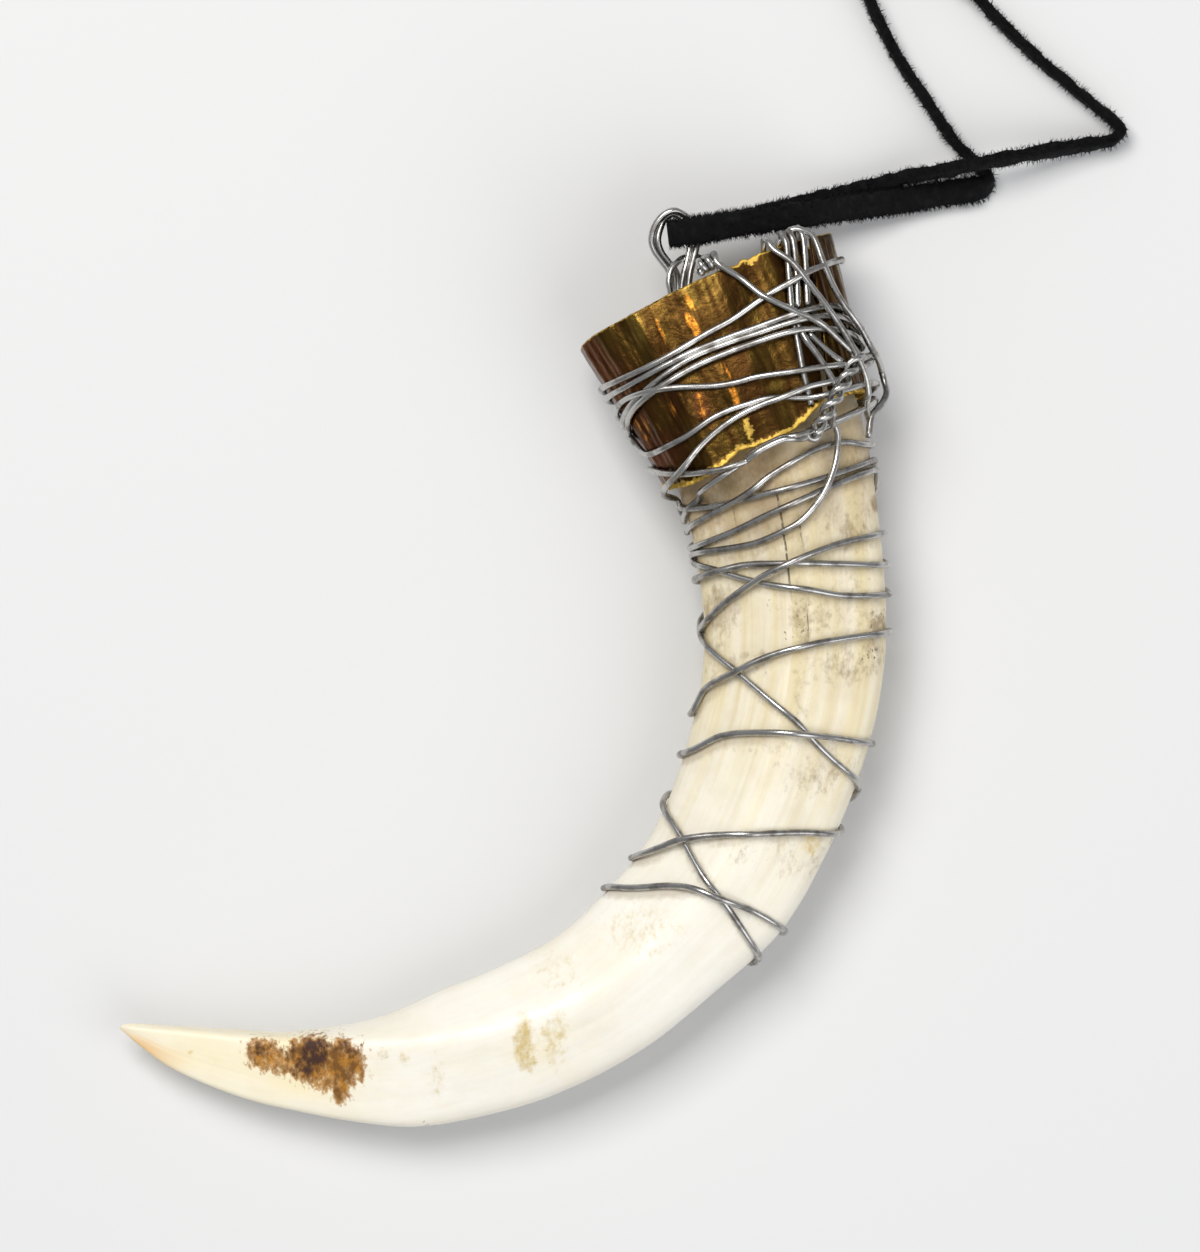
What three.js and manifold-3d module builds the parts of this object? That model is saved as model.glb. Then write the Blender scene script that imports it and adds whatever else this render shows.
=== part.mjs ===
// A boar-tusk pendant lying on its side. The root end of a curved tusk sits in a sleeve of brass
// sheet. Steel wire binds the sleeve and the tusk, and a wire bail in the sleeve's mouth carries a
// flat suede lace, which is folded in half, laid out and wound into a tied coil.
// Millimetres, +Z up, resting on z = 0. "Plan" means the x, y of the view from above.

import * as THREE from 'three';
import { mergeVertices } from 'three/addons/utils/BufferGeometryUtils.js';
import Module from 'manifold-3d';

const wasm = await Module();
wasm.setup();

// ---- Driving dimensions -------------------------------------------------------------------------

const GAP = 0.3; // clearance between pieces that touch
const PLAN_CENTRE = [0, 0.164]; // middle of the pendant's box in the plan coordinates below
const WIRE_BELOW = 0.724; // the tusk's heights below are raised by this, to lie on its wire

// The tusk from the sleeve's rim to the tip: plan x, y of its inner (concave) edge, of its outer
// edge, height of its middle, thickness, and how far the ridge leans to the outer edge (share of
// the half width). The first row is past the root end and only carries the sleeve and the wire.
const TUSK_STATIONS = [
  [11.6, 46.0, 33.1, 55.6, 10.7, 16.6, 0.12],
  [13.4, 41.35, 34.9, 50.95, 10.7, 16.6, 0.12],
  [18.0, 29.8, 40.1, 39.4, 10.7, 16.8, 0.12],
  [21.0, 21.7, 43.4, 30.5, 10.4, 16.8, 0.12],
  [22.7, 15.9, 45.2, 20.1, 10.2, 16.4, 0.08],
  [24.0, 6.0, 46.3, 5.9, 9.9, 16.0, 0.02],
  [23.7, -1.2, 45.4, -3.9, 9.8, 15.8, 0.0],
  [22.4, -7.3, 42.9, -13.0, 9.6, 15.4, 0.0],
  [20.2, -14.4, 38.8, -22.7, 9.3, 14.8, 0.0],
  [17.0, -21.0, 33.5, -31.7, 9.0, 14.2, -0.04],
  [12.4, -26.6, 25.9, -38.7, 8.7, 13.6, 0.0],
  [6.6, -32.1, 16.7, -46.1, 8.2, 13.0, -0.06],
  [-0.7, -36.0, 6.2, -51.6, 7.6, 12.3, -0.16],
  [-8.0, -39.0, -3.4, -54.5, 6.9, 11.5, -0.29],
  [-15.4, -42.2, -12.9, -55.7, 6.1, 10.4, -0.58],
  [-26.3, -44.1, -28.0, -53.3, 5.1, 8.0, -0.85],
  [-33.0, -43.9, -34.8, -51.3, 4.8, 6.3, -0.85],
  [-39.6, -43.5, -41.3, -48.4, 4.7, 4.3, -0.8],
  [-44.3, -43.2, -45.3, -45.5, 4.8, 2.4, -0.5],
  [-46.4, -43.2, -46.8, -44.2, 4.9, 1.3, -0.2],
  [-47.1, -43.4, -47.3, -43.8, 4.9, 0.6, 0.0],
];
// The section's flat faces: degrees they face and distance, in shares of the half width and half
// thickness. Two more faces meet at the ridge, at the lean above and this share of the height.
const TUSK_FACES = [[0, 1], [180, 1], [270, 1], [315, 1.1], [225, 1.1]];
const RIDGE_HEIGHT = 1.05;
const OUTER_TOP = [56, -24]; // degrees it faces, and how they change with the lean
const INNER_TOP = [128, -40];
const CORNER_POWER = 9; // higher is sharper
const ROOT_DEPTH = 2.6; // from the sleeve's rim down to the root end
const TUSK_RINGS = 35;
const TUSK_SIDES = 20;

// The sleeve of brass sheet, rolled round the root end, with an open seam on its upper face.
const SHEET = 0.5;
const SLEEVE_LENGTH = 18.7;
const SLEEVE_WIDTH = [33.6, 27.6]; // at the rim, at the lower edge
const SLEEVE_THICKNESS = [18.8, 20.0];
const SLEEVE_SQUARENESS = 2.7; // 2 is an ellipse
const SEAM_ANGLE = [42, 60]; // degrees up from the outer edge, at the rim and at the lower edge
const SEAM_WIDTH = [8, 4]; // degrees
const SLEEVE_COLUMNS = 28;
const SLEEVE_ROWS = 6;
// How far the sheet reaches past its straight rim and lower edge, by angle in degrees.
const RIM_REACH = [[0, 0], [30, 0.3], [60, 0.9], [90, 1.2], [120, 0.7], [150, 0.3], [180, -0.6],
  [210, 0.1], [250, -0.4], [300, 0.4], [330, -0.2], [360, 0]];
const HEM_REACH = [[0, 0.4], [25, 0.1], [62, -0.6], [75, 0.8], [86, 1.5], [100, 1.2], [112, 2.2],
  [135, 2.8], [160, 2.2], [180, 1.4], [225, 1.2], [270, -0.6], [315, 0.5], [360, 0.4]];
// Creases of the hammered sheet: angle in degrees and depth.
const CREASES = [[20, 0.2], [78, 0.35], [104, 0.3], [128, 0.45], [152, 0.25], [205, 0.3], [250, 0.25],
  [290, 0.35], [330, 0.2]];
const CREASE_SPREAD = 7; // degrees

// The binding wire. Each turn crosses the upper face from the right (outer) side to the left. Its
// points are plan x, y and, where it rides over other wires, the number of wires under it.
const WIRE = 0.8;
const WIRE_SIDES = 4;
const WIRE_STEP = 4;
const WIRE_BODY_STEPS = 6;
const WIRE_GAP = 0.36; // more than GAP, because the straight pieces of a turn cut its corners
const WIRE_HUG = 1.7; // between the points that follow what the wire lies on
const BLEND_START = 0.5; // past the sleeve's lower edge, the wire comes down to the tusk
const BLEND_END = 2.9;
const TUSK_TURNS = [
  [[39.6, 31.2, 2], [39.9, 29.3, 1.7], [40.1, 27.2, 1.3], [39.8, 24.9, 1.1], [39, 22.6, 1.1],
    [37.4, 20, 0.5], [34.6, 17.4], [30, 15.4], [22.7, 14.1]],
  [[47, 12.9], [40, 12.9], [34.6, 13], [29, 12.8, 0.3], [25.5, 12, 1], [23.4, 11.3, 0.3]],
  [[47.1, 9.4], [41, 9.1], [35, 10], [29, 11.1], [22.7, 13.2]],
  [[46.6, 16.8], [41.5, 15.7], [37, 14.2, 0.5], [33, 12.4, 1.1], [30.6, 11.1, 1], [27, 8.6, 0.1],
    [23.3, 4.9]],
  [[47, 4.8], [39.5, 3.7], [34, 2.5], [28.3, 0.2, 1.1], [24.2, -2.2], [22.6, -5.1]],
  [[44.8, -8.9], [40, -8.1, 0.3], [36.5, -7.7, 1.1], [32, -7.4, 0.1], [26.1, -7.9], [21.6, -10]],
  [[40.7, -19.6], [33, -19.6], [26.1, -19.8, 0.2], [21.2, -20.4, 1.1], [15.4, -22.7]],
  [[33.8, -31.5], [30, -29.1], [26.3, -27.6, 1.1], [20, -26], [11.6, -26.1]],
  [[30.6, -35.4], [26.3, -27.8], [22.4, -22.2], [18.9, -15.9]],
  [[42.9, -14], [37.7, -8.9], [32.2, -3.7], [26.3, 1.3], [23.3, 4.6]],
  [[45.2, 24.1], [38.7, 22], [32.2, 19.1], [26.5, 16.4], [22.4, 14.8]],
  [[45.1, 25.6], [38.5, 23.3], [32, 21.5], [25, 19.9], [21.2, 19.8]],
  [[44.1, 27.4, 0.2], [40.7, 27.6], [37, 26.5], [32.2, 23.7, 0.2], [29.5, 21.6, 1.1], [25, 19],
    [21.5, 16.7]],
];
const SLEEVE_TURNS = [
  [[41.1, 49.9], [37.3, 48.4, 1.1], [35.3, 47.3, 1.1], [31, 44.8], [23.7, 40.2], [17.6, 36.8],
    [11.5, 34]],
  [[43.9, 42.7], [39.8, 44, 0.1], [35.8, 43.2, 1.1], [31, 41.6], [22.4, 38.3], [15.1, 34.5],
    [12.1, 32.9]],
  [[43.7, 41.2], [39.8, 42.8, 0.4], [36, 42.3, 1.1], [31, 40.8], [22.4, 37.6], [16.3, 33.2],
    [13.4, 29.3]],
  [[43.9, 39.6], [39, 41.2, 0.4], [35.5, 41, 1.1], [31, 39.8, 0.5], [23.5, 36.9, 0.3],
    [18.8, 34.2, 1], [15, 30.7], [13.9, 28]],
  [[42, 37.2, 1.2], [37.8, 36.5, 1.1], [34, 35.9, 0.6], [26.1, 34.4], [18.8, 33.9, 1],
    [14.6, 32.8], [12.8, 30.7]],
  [[40.4, 35.2, 1.2], [36.6, 34.2, 1], [33.4, 32.9, 1], [28.5, 30.9, 0.2], [23.7, 27.2],
    [21.1, 24, 1.1], [19.7, 20.5], [20.2, 18.5]],
  [[39.3, 33.4, 1.2], [36.6, 32.9, 0.3], [30.5, 32.5], [25.5, 30.7], [21.2, 27.9], [17, 26.2],
    [14, 28]],
  [[36.6, 28.2, 1], [32.9, 27.6, 1], [28.5, 25, 0.8], [22.4, 23.8], [16.5, 24]],
  [[36.2, 28.6, 1], [32.7, 27.8, 0.2], [27.9, 24.6], [23, 20.4], [20.5, 17.8]],
];
// Strands that come out of the sleeve's mouth and hook over its rim. The first point is where a
// strand goes in, and the second is where it has come over the rim.
const HOOKED_STRANDS = [
  [[25.6, 49.0], [25.6, 49.0], [28.5, 47.1, 0.1], [31.2, 45, 1.1], [35.6, 42.9, 1.2], [37.7, 42, 1.7],
    [40.1, 40, 1.2], [42, 38.2, 1.3]],
  [[31.3, 50.9], [32.2, 50.7], [34.6, 49.1, 1], [36.9, 46.2, 1.6], [39.3, 43, 1.9], [41.5, 39.7, 1.8],
    [42.6, 37.6, 2], [43.6, 35, 1.6], [43.8, 33.2, 1.1], [44.2, 30.2, 0.5]],
  [[33.2, 50.9], [37.3, 51.2, 0.4], [38.3, 49.4, 1], [39.6, 46.3, 1.2], [41, 43.9, 1.3], [43, 41.3, 1.4],
    [44.3, 39.1, 1.6], [45.8, 36.7, 2], [46.4, 34.3, 2.2], [45.7, 32.4, 2.1], [44.4, 30.9, 1.2],
    [44, 28.2, 0.2]],
  [[34, 50.8], [34, 50.8], [34.5, 43.4], [35.2, 39.8], [35.8, 36.4], [36.8, 32]],
  [[35, 50.6], [35, 50.6], [35.1, 47.4], [35.3, 43.6]],
  [[36.4, 50.2], [36.4, 50.2], [36.3, 47], [36.4, 43.9]],
];
const SLANTED_STRANDS = [
  [[34.9, 42.4], [36.2, 39.9, 1], [37.7, 37.8, 1], [39.2, 35.4, 1.2], [39.8, 34.2, 1.2]],
  [[36.5, 40.7, 0.2], [38.6, 38.7, 0.6], [40.5, 37.2, 1.2]],
];
const TWIST_AXIS = [[42.6, 38.2], [41.1, 35.3], [39.9, 33.2], [38.6, 31], [37.3, 28.8]];
const TWIST_LIFT = 2.0; // wires under the twisted pair
const TWIST_LOBES = 5;

// The bail: two loops of the same wire side by side, their legs down in the sleeve's mouth. x, y, z.
const BAIL_ROUTES = [
  [
    [22.2, 44.9, 13], [22.2, 46.4, 13], [22.4, 48.2, 13], [22.8, 49.9, 13], [23.2, 51.6, 12.9],
    [23.2, 53.1, 12.8], [22.7, 54.4, 12.7], [21.7, 55.3, 12.9], [20.4, 55.8, 13.4], [19.1, 55.2, 13.4],
    [18.1, 53.9, 13.2], [17.7, 52.3, 13], [18.1, 50.9, 13], [19, 49.6, 13], [19.9, 48.3, 13],
    [20.1, 46.8, 13], [20.1, 45.4, 13],
  ],
  [
    [21.4, 45.1, 12.9], [21.4, 46.5, 12.9], [21.6, 48, 12.9], [22, 49.6, 12.8], [22.3, 51.1, 12.7],
    [22.4, 52.5, 12.6], [22.1, 53.9, 12.5], [21.4, 54.9, 12.4], [20.3, 55.4, 12.4], [19.4, 54.9, 12.5],
    [18.8, 53.7, 12.7], [18.5, 52.2, 12.8], [18.9, 50.8, 12.6], [19.8, 49.6, 12.4], [20.7, 48.4, 12.2],
    [20.9, 47, 12.1], [20.9, 45.6, 12.1],
  ],
];

// The lace: two strands from its fold in the bail to the coil. x, y, z and how far it is turned
// from lying flat, in degrees: it turns on edge where it bends sharply in the plan.
const LACE_WIDTH = 3;
const LACE_THICKNESS = 1.25;
const LACE_STEP = 5;
const LACE_NEAR = [
  [19.8, 52.9, 13.8, 0], [23.3, 53.4, 14.6, 0], [28.5, 54.3, 12.8, 0], [33.4, 55.2, 9.6, 0],
  [38.4, 56.1, 6.3, 0], [43.4, 56.9, 4, 0], [48.3, 57.65, 2.2, 0], [53.2, 58.5, 1.4, 0],
  [56.8, 59, 1.4, 5], [58.6, 59.3, 1.7, 50], [59.3, 60.3, 1.8, 90], [58.2, 61.7, 1.8, 90],
  [54.9, 65, 1.8, 90], [51.5, 70, 1.8, 90], [48.2, 75, 1.8, 90], [45.7, 79.8, 1.8, 90],
  [44.3, 83, 1.8, 85], [42.5, 86.6, 1.6, 45], [40, 89.8, 1, 0],
];
const LACE_FAR = [
  [19.8, 53.1, 11.7, 0], [23.3, 53.5, 10.8, 0], [26, 54.1, 9.8, 30], [28.5, 55, 8.6, 65],
  [33.4, 56.5, 6, 75], [38.3, 57.8, 3.7, 75], [43.3, 59.05, 2.5, 75], [48.2, 60.25, 2.8, 75],
  [53.1, 61.1, 4.4, 75], [57.9, 62, 5.5, 75], [62.9, 63, 4.7, 75], [67.9, 63.95, 3.1, 75],
  [71.8, 64.6, 2.1, 80], [74.4, 65.1, 1.8, 88], [75.5, 66.2, 1.8, 90], [74.6, 67.4, 1.8, 90],
  [71.4, 70, 1.8, 90], [68.4, 72.5, 1.8, 90], [65.5, 74.9, 1.8, 90], [62.9, 77.4, 1.8, 90],
  [60.4, 79.8, 1.8, 90], [58.1, 82.4, 1.8, 85], [55.6, 85.2, 2, 45], [51.5, 88, 2.2, 0],
];
const COIL_CENTRE = [49, 112.5];
const COIL_INNER = 10.4;
const COIL_OUTER = 22;
const COIL_BOTTOM = 0.75;
const COIL_HEIGHT = 2.75;
const COIL_SIDES = 20;
const KNOT_RADIUS = 3.2;
const KNOT_SQUASH = 0.62;
const KNOT_PLACE = 7.3; // from the coil's middle
const TIE_THICKNESS = 0.4;
const TIE_WIDTH = 3;
const TIE_ANGLE = 0.6;

const IVORY = new THREE.MeshStandardMaterial({ color: 0xe9e0cb, roughness: 0.38, metalness: 0 });
const BRASS = new THREE.MeshStandardMaterial({ color: 0x6b5430, roughness: 0.36, metalness: 1 });
const STEEL = new THREE.MeshStandardMaterial({ color: 0x77756f, roughness: 0.34, metalness: 1 });
const SUEDE = new THREE.MeshStandardMaterial({ color: 0x17171a, roughness: 0.95, metalness: 0 });

// ---- Curves and outlines ------------------------------------------------------------------------

const radians = THREE.MathUtils.degToRad;
const lerp = THREE.MathUtils.lerp;

// A smooth value of every column of the rows at a key, by cubic pieces through the rows.
function through(keys, rows, key) {
  const last = rows.length - 1;
  let i = 0;
  while (i < last - 1 && keys[i + 1] < key) i += 1;
  const slope = (k, c) => {
    const a = Math.max(k - 1, 0);
    const b = Math.min(k + 1, last);
    return (rows[b][c] - rows[a][c]) / (keys[b] - keys[a]);
  };
  const span = keys[i + 1] - keys[i];
  const f = (key - keys[i]) / span;
  return rows[i].map((start, c) => {
    const end = rows[i + 1][c];
    const m0 = slope(i, c) * span;
    const m1 = slope(i + 1, c) * span;
    const f2 = f * f;
    const f3 = f2 * f;
    return (2 * f3 - 3 * f2 + 1) * start + (f3 - 2 * f2 + f) * m0
      + (3 * f2 - 2 * f3) * end + (f3 - f2) * m1;
  });
}

// The straight-line value of [key, value] pairs at a key.
function between(pairs, key) {
  const i = Math.max(1, pairs.findIndex(([k]) => k >= key));
  const [k0, v0] = pairs[i - 1];
  const [k1, v1] = pairs[i];
  return lerp(v0, v1, (key - k0) / (k1 - k0));
}

// Distance along the tusk's middle line, 0 at the sleeve's rim (the second station).
const middles = TUSK_STATIONS.map(([ix, iy, ox, oy]) => new THREE.Vector2((ix + ox) / 2, (iy + oy) / 2));
const distances = middles.map(() => 0);
for (let i = 1; i < middles.length; i += 1) {
  distances[i] = distances[i - 1] + middles[i].distanceTo(middles[i - 1]);
}
const rimDistance = distances[1];
const stations = distances.map((d) => d - rimDistance);
const TIP = stations[stations.length - 1];

// The tusk's frame at a distance s from the rim.
function frameAt(s) {
  const [ix, iy, ox, oy, height, thickness, lean] = through(stations, TUSK_STATIONS, s);
  const across = new THREE.Vector2(ox - ix, oy - iy);
  const width = across.length();
  across.divideScalar(width);
  return { middle: new THREE.Vector2((ix + ox) / 2, (iy + oy) / 2), across, width, height, thickness, lean };
}

// Outlines give [across, up] from the middle at a distance s and an angle: 0 is the outer edge,
// 90 degrees the top, 180 the inner edge and 270 the underside.
function tuskOutline(s, angle) {
  const { width, thickness, lean } = frameAt(s);
  const tops = [OUTER_TOP, INNER_TOP].map(([facing, change]) => {
    const degrees = facing + change * lean;
    const normal = radians(degrees);
    return [degrees, Math.cos(normal) * lean + Math.sin(normal) * RIDGE_HEIGHT];
  });
  const total = [...TUSK_FACES, ...tops].reduce((sum, [degrees, distance]) => {
    const towards = Math.cos(angle - radians(degrees)) / distance;
    return sum + Math.max(0, towards) ** CORNER_POWER;
  }, 0);
  const reach = total ** (-1 / CORNER_POWER);
  return [Math.cos(angle) * reach * width * 0.5, Math.sin(angle) * reach * thickness * 0.5];
}

function creaseDepth(angle) {
  const degrees = THREE.MathUtils.radToDeg(angle) % 360;
  return CREASES.reduce((sum, [at, depth]) => {
    const away = (degrees - at) / CREASE_SPREAD;
    return sum + depth * Math.exp(-away * away);
  }, 0);
}

function sleeveForm(s, angle) {
  const f = s / SLEEVE_LENGTH;
  const power = 2 / SLEEVE_SQUARENESS;
  const rounded = (v) => Math.sign(v) * Math.abs(v) ** power;
  const across = rounded(Math.cos(angle)) * lerp(...SLEEVE_WIDTH, f) * 0.5;
  const up = rounded(Math.sin(angle)) * lerp(...SLEEVE_THICKNESS, f) * 0.5;
  return [across, up];
}

function sleeveOutline(s, angle) {
  const [across, up] = sleeveForm(s, angle);
  const shrink = 1 - creaseDepth(angle) / Math.hypot(across, up);
  return [across * shrink, up * shrink];
}

// What the wire lies on: the sleeve, and the tusk below it.
function bindingOutline(s, angle) {
  const turn = THREE.MathUtils.euclideanModulo(angle, 2 * Math.PI);
  const hem = SLEEVE_LENGTH + between(HEM_REACH, THREE.MathUtils.radToDeg(turn));
  const f = THREE.MathUtils.smoothstep(s, hem + BLEND_START, hem + BLEND_END);
  if (f === 0) return sleeveForm(s, angle);
  if (f === 1) return tuskOutline(s, angle);
  const [a0, u0] = sleeveForm(s, angle);
  const [a1, u1] = tuskOutline(s, angle);
  return [lerp(a0, a1, f), lerp(u0, u1, f)];
}

// A point of an outline moved out by a distance, as [across, up].
function movedOut(outline, s, angle, distance) {
  const d = 0.05;
  const [a0, u0] = outline(s, angle - d);
  const [a1, u1] = outline(s, angle + d);
  const length = Math.hypot(a1 - a0, u1 - u0);
  const [a, u] = outline(s, angle);
  return [a + ((u1 - u0) / length) * distance, u - ((a1 - a0) / length) * distance];
}

// [across, up] at a distance s as a point in space.
function toSpace(s, [across, up]) {
  const frame = frameAt(s);
  return new THREE.Vector3(
    frame.middle.x + frame.across.x * across,
    frame.middle.y + frame.across.y * across,
    frame.height + WIRE_BELOW + up,
  );
}

// ---- Solids -------------------------------------------------------------------------------------

// A closed body through rings of equally many points, its ends closed by strips across the ring.
// Rings run counter-clockwise seen from the last ring.
function loft(rings) {
  const size = rings[0].length;
  const points = rings.flat();
  const triangles = [];
  for (let i = 0; i < rings.length - 1; i += 1) {
    for (let k = 0; k < size; k += 1) {
      const a = i * size + k;
      const b = i * size + ((k + 1) % size);
      triangles.push([a, b, b + size], [a, b + size, a + size]);
    }
  }
  const end = (rings.length - 1) * size;
  for (let k = 0; k + 1 < size - 1 - k; k += 1) {
    const far = size - 1 - k;
    triangles.push([k, far, k + 1], [end + k, end + k + 1, end + far]);
    if (k + 1 === far - 1) continue;
    triangles.push([k + 1, far, far - 1], [end + k + 1, end + far - 1, end + far]);
  }
  const geometry = new THREE.BufferGeometry().setFromPoints(points);
  geometry.setIndex(triangles.flat());
  return geometry;
}

function toSolid(geometry) {
  const bare = geometry.clone();
  bare.deleteAttribute('normal');
  bare.deleteAttribute('uv');
  const merged = mergeVertices(bare);
  return new wasm.Manifold(new wasm.Mesh({
    numProp: 3,
    vertProperties: new Float32Array(merged.attributes.position.array),
    triVerts: new Uint32Array(merged.index.array),
  }));
}

function fromSolid(solid) {
  const mesh = solid.getMesh();
  const geometry = new THREE.BufferGeometry();
  geometry.setAttribute('position', new THREE.BufferAttribute(mesh.vertProperties, 3));
  geometry.setIndex(new THREE.BufferAttribute(mesh.triVerts, 1));
  return geometry;
}

// One body of all the geometries, without the specks left where two of them graze each other.
function joined(geometries) {
  const bodies = geometries.map(toSolid).reduce((sum, solid) => sum.add(solid)).decompose();
  return fromSolid(bodies.reduce((most, body) => (body.volume() > most.volume() ? body : most)));
}

function tube(points, sides, diameter, step) {
  const corners = Array.from({ length: sides }, (_, k) => {
    const angle = (k / sides) * 2 * Math.PI;
    return new THREE.Vector2(Math.cos(angle), Math.sin(angle)).multiplyScalar(diameter / 2);
  });
  const path = new THREE.CatmullRomCurve3(points, false, 'centripetal');
  const steps = Math.max(2, Math.round(path.getLength() / step));
  const options = { steps, bevelEnabled: false, extrudePath: path };
  return new THREE.ExtrudeGeometry(new THREE.Shape(corners), options);
}

function buildTusk() {
  const rings = [];
  for (let i = 0; i <= TUSK_RINGS; i += 1) {
    const s = lerp(ROOT_DEPTH, TIP, i / TUSK_RINGS);
    const ring = [];
    for (let k = 0; k < TUSK_SIDES; k += 1) {
      const angle = (k / TUSK_SIDES) * 2 * Math.PI;
      ring.push(toSpace(s, tuskOutline(s, angle)));
    }
    rings.push(ring);
  }
  return loft(rings);
}

// The sleeve is lofted round the root end from one side of the seam to the other. Each ring runs
// down the inside of the sheet and back up its outside.
function buildSleeve() {
  const rings = [];
  for (let i = 0; i <= SLEEVE_COLUMNS; i += 1) {
    const ring = [];
    const side = (depth, rows) => rows.forEach((row) => {
      const f = row / SLEEVE_ROWS;
      const seam = radians(lerp(...SEAM_ANGLE, f));
      const open = radians(lerp(...SEAM_WIDTH, f));
      const angle = seam + open / 2 + ((2 * Math.PI - open) * i) / SLEEVE_COLUMNS;
      const degrees = THREE.MathUtils.radToDeg(angle) % 360;
      const top = -between(RIM_REACH, degrees);
      const bottom = SLEEVE_LENGTH + between(HEM_REACH, degrees);
      const s = lerp(top, bottom, f);
      ring.push(toSpace(s, movedOut(sleeveOutline, s, angle, -depth)));
    });
    const down = Array.from({ length: SLEEVE_ROWS + 1 }, (_, row) => row);
    side(SHEET, down);
    side(0, [...down].reverse());
    rings.push(ring);
  }
  return loft(rings);
}

// ---- Wire ---------------------------------------------------------------------------------------

// Where a plan point with a number of wires under it lies on the binding, as [s, angle, lift].
function ontoBinding([x, y, lift = 0]) {
  const target = new THREE.Vector2(x, y);
  const past = (s) => {
    const { middle, across } = frameAt(s);
    return (target.x - middle.x) * across.y - (target.y - middle.y) * across.x;
  };
  let best = null;
  for (let s = stations[0]; s < TIP - 1; s += 1) {
    if (past(s) * past(s + 1) > 0) continue;
    const reach = frameAt(s).middle.distanceTo(target);
    if (best === null || reach < best.reach) best = { s, reach };
  }
  let low = best.s;
  let high = best.s + 1;
  for (let i = 0; i < 20; i += 1) {
    const half = (low + high) / 2;
    if (past(low) * past(half) > 0) low = half;
    else high = half;
  }
  const { middle, across } = frameAt(low);
  const aside = target.clone().sub(middle).dot(across);
  let right = 0;
  let left = Math.PI;
  for (let i = 0; i < 20; i += 1) {
    const half = (left + right) / 2;
    if (movedOut(bindingOutline, low, half, wireHeight(lift))[0] > aside) right = half;
    else left = half;
  }
  return [low, right, lift];
}

function wireHeight(lift) {
  return WIRE / 2 + WIRE_GAP + lift * WIRE;
}

function onBinding([s, angle, lift]) {
  return toSpace(s, movedOut(bindingOutline, s, angle, wireHeight(lift)));
}

// Points in space, a few millimetres apart, along a route of [s, angle, lift].
function hugging(route) {
  const knots = route.map(onBinding);
  const keys = [0];
  for (let i = 1; i < knots.length; i += 1) keys.push(keys[i - 1] + knots[i].distanceTo(knots[i - 1]));
  const length = keys[keys.length - 1];
  const count = Math.ceil(length / WIRE_HUG);
  return Array.from({ length: count + 1 }, (_, i) => onBinding(through(keys, route, (length * i) / count)));
}

// The way under the pendant from the end of one turn to the start of the next.
const UNDER_POINTS = 3;
function under([s0, , lift0], [s1, , lift1]) {
  const points = [];
  for (let i = 1; i <= UNDER_POINTS; i += 1) {
    const f = i / (UNDER_POINTS + 1);
    points.push([lerp(s0, s1, f), Math.PI * (1 + f), lerp(lift0, lift1, f) * 0.3]);
  }
  return points;
}

// All turns with the ways under from each to the next, as one route.
function wound(turns) {
  const routes = turns.map((turn) => turn.map(ontoBinding));
  return hugging(routes.flatMap((route, i) => {
    const next = routes[i + 1];
    const run = next ? [...route, ...under(route[route.length - 1], next[0])] : route;
    return run.map(([s, angle, lift]) => [s, angle + i * 2 * Math.PI, lift]);
  }));
}

// A wire along a route, in short bodies that share their end rings, because a whole winding would
// run through itself where it crosses.
function wire(points, step) {
  const path = new THREE.CatmullRomCurve3(points, false, 'centripetal');
  path.arcLengthDivisions = points.length * 6;
  const steps = Math.max(2, Math.round(path.getLength() / step));
  const frames = path.computeFrenetFrames(steps, false);
  const rings = frames.tangents.map((_, i) => {
    const centre = path.getPointAt(i / steps);
    return Array.from({ length: WIRE_SIDES }, (_, k) => {
      const angle = (k / WIRE_SIDES) * 2 * Math.PI;
      return centre.clone()
        .addScaledVector(frames.normals[i], Math.cos(angle) * WIRE * 0.5)
        .addScaledVector(frames.binormals[i], Math.sin(angle) * WIRE * 0.5);
    });
  });
  const bodies = [];
  for (let i = 0; i < steps; i += WIRE_BODY_STEPS) {
    const stretch = rings.slice(i, i + WIRE_BODY_STEPS + 1);
    if (stretch.length > 1) bodies.push(loft(stretch));
  }
  return bodies;
}

// The part of a strand that comes up inside the sleeve at one binding point and over its rim at another.
const HOOK_DEPTH = 2;
const HOOK_STEP = 3; // shorter than WIRE_STEP, to bend over the rim
const HOOK_REACH = 1.5; // how far past the rim a strand turns
function overRim([, entry], [s, angle, lift]) {
  const inside = -(SHEET + GAP + WIRE) / WIRE - GAP / WIRE;
  const rimAt = (a) => Math.min(-between(RIM_REACH, THREE.MathUtils.radToDeg(a)), s);
  return [
    [rimAt(entry) + HOOK_DEPTH, entry, inside - 0.3],
    [rimAt(entry), entry, inside - 0.2],
    [rimAt(angle) - HOOK_REACH, (entry + angle) / 2, (inside + lift) / 2],
    [rimAt(angle), angle, lift + 0.2],
  ];
}

function hooked(strand) {
  const route = strand.map(ontoBinding);
  return hugging([...overRim(route[0], route[1]), ...route.slice(2)]);
}

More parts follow.
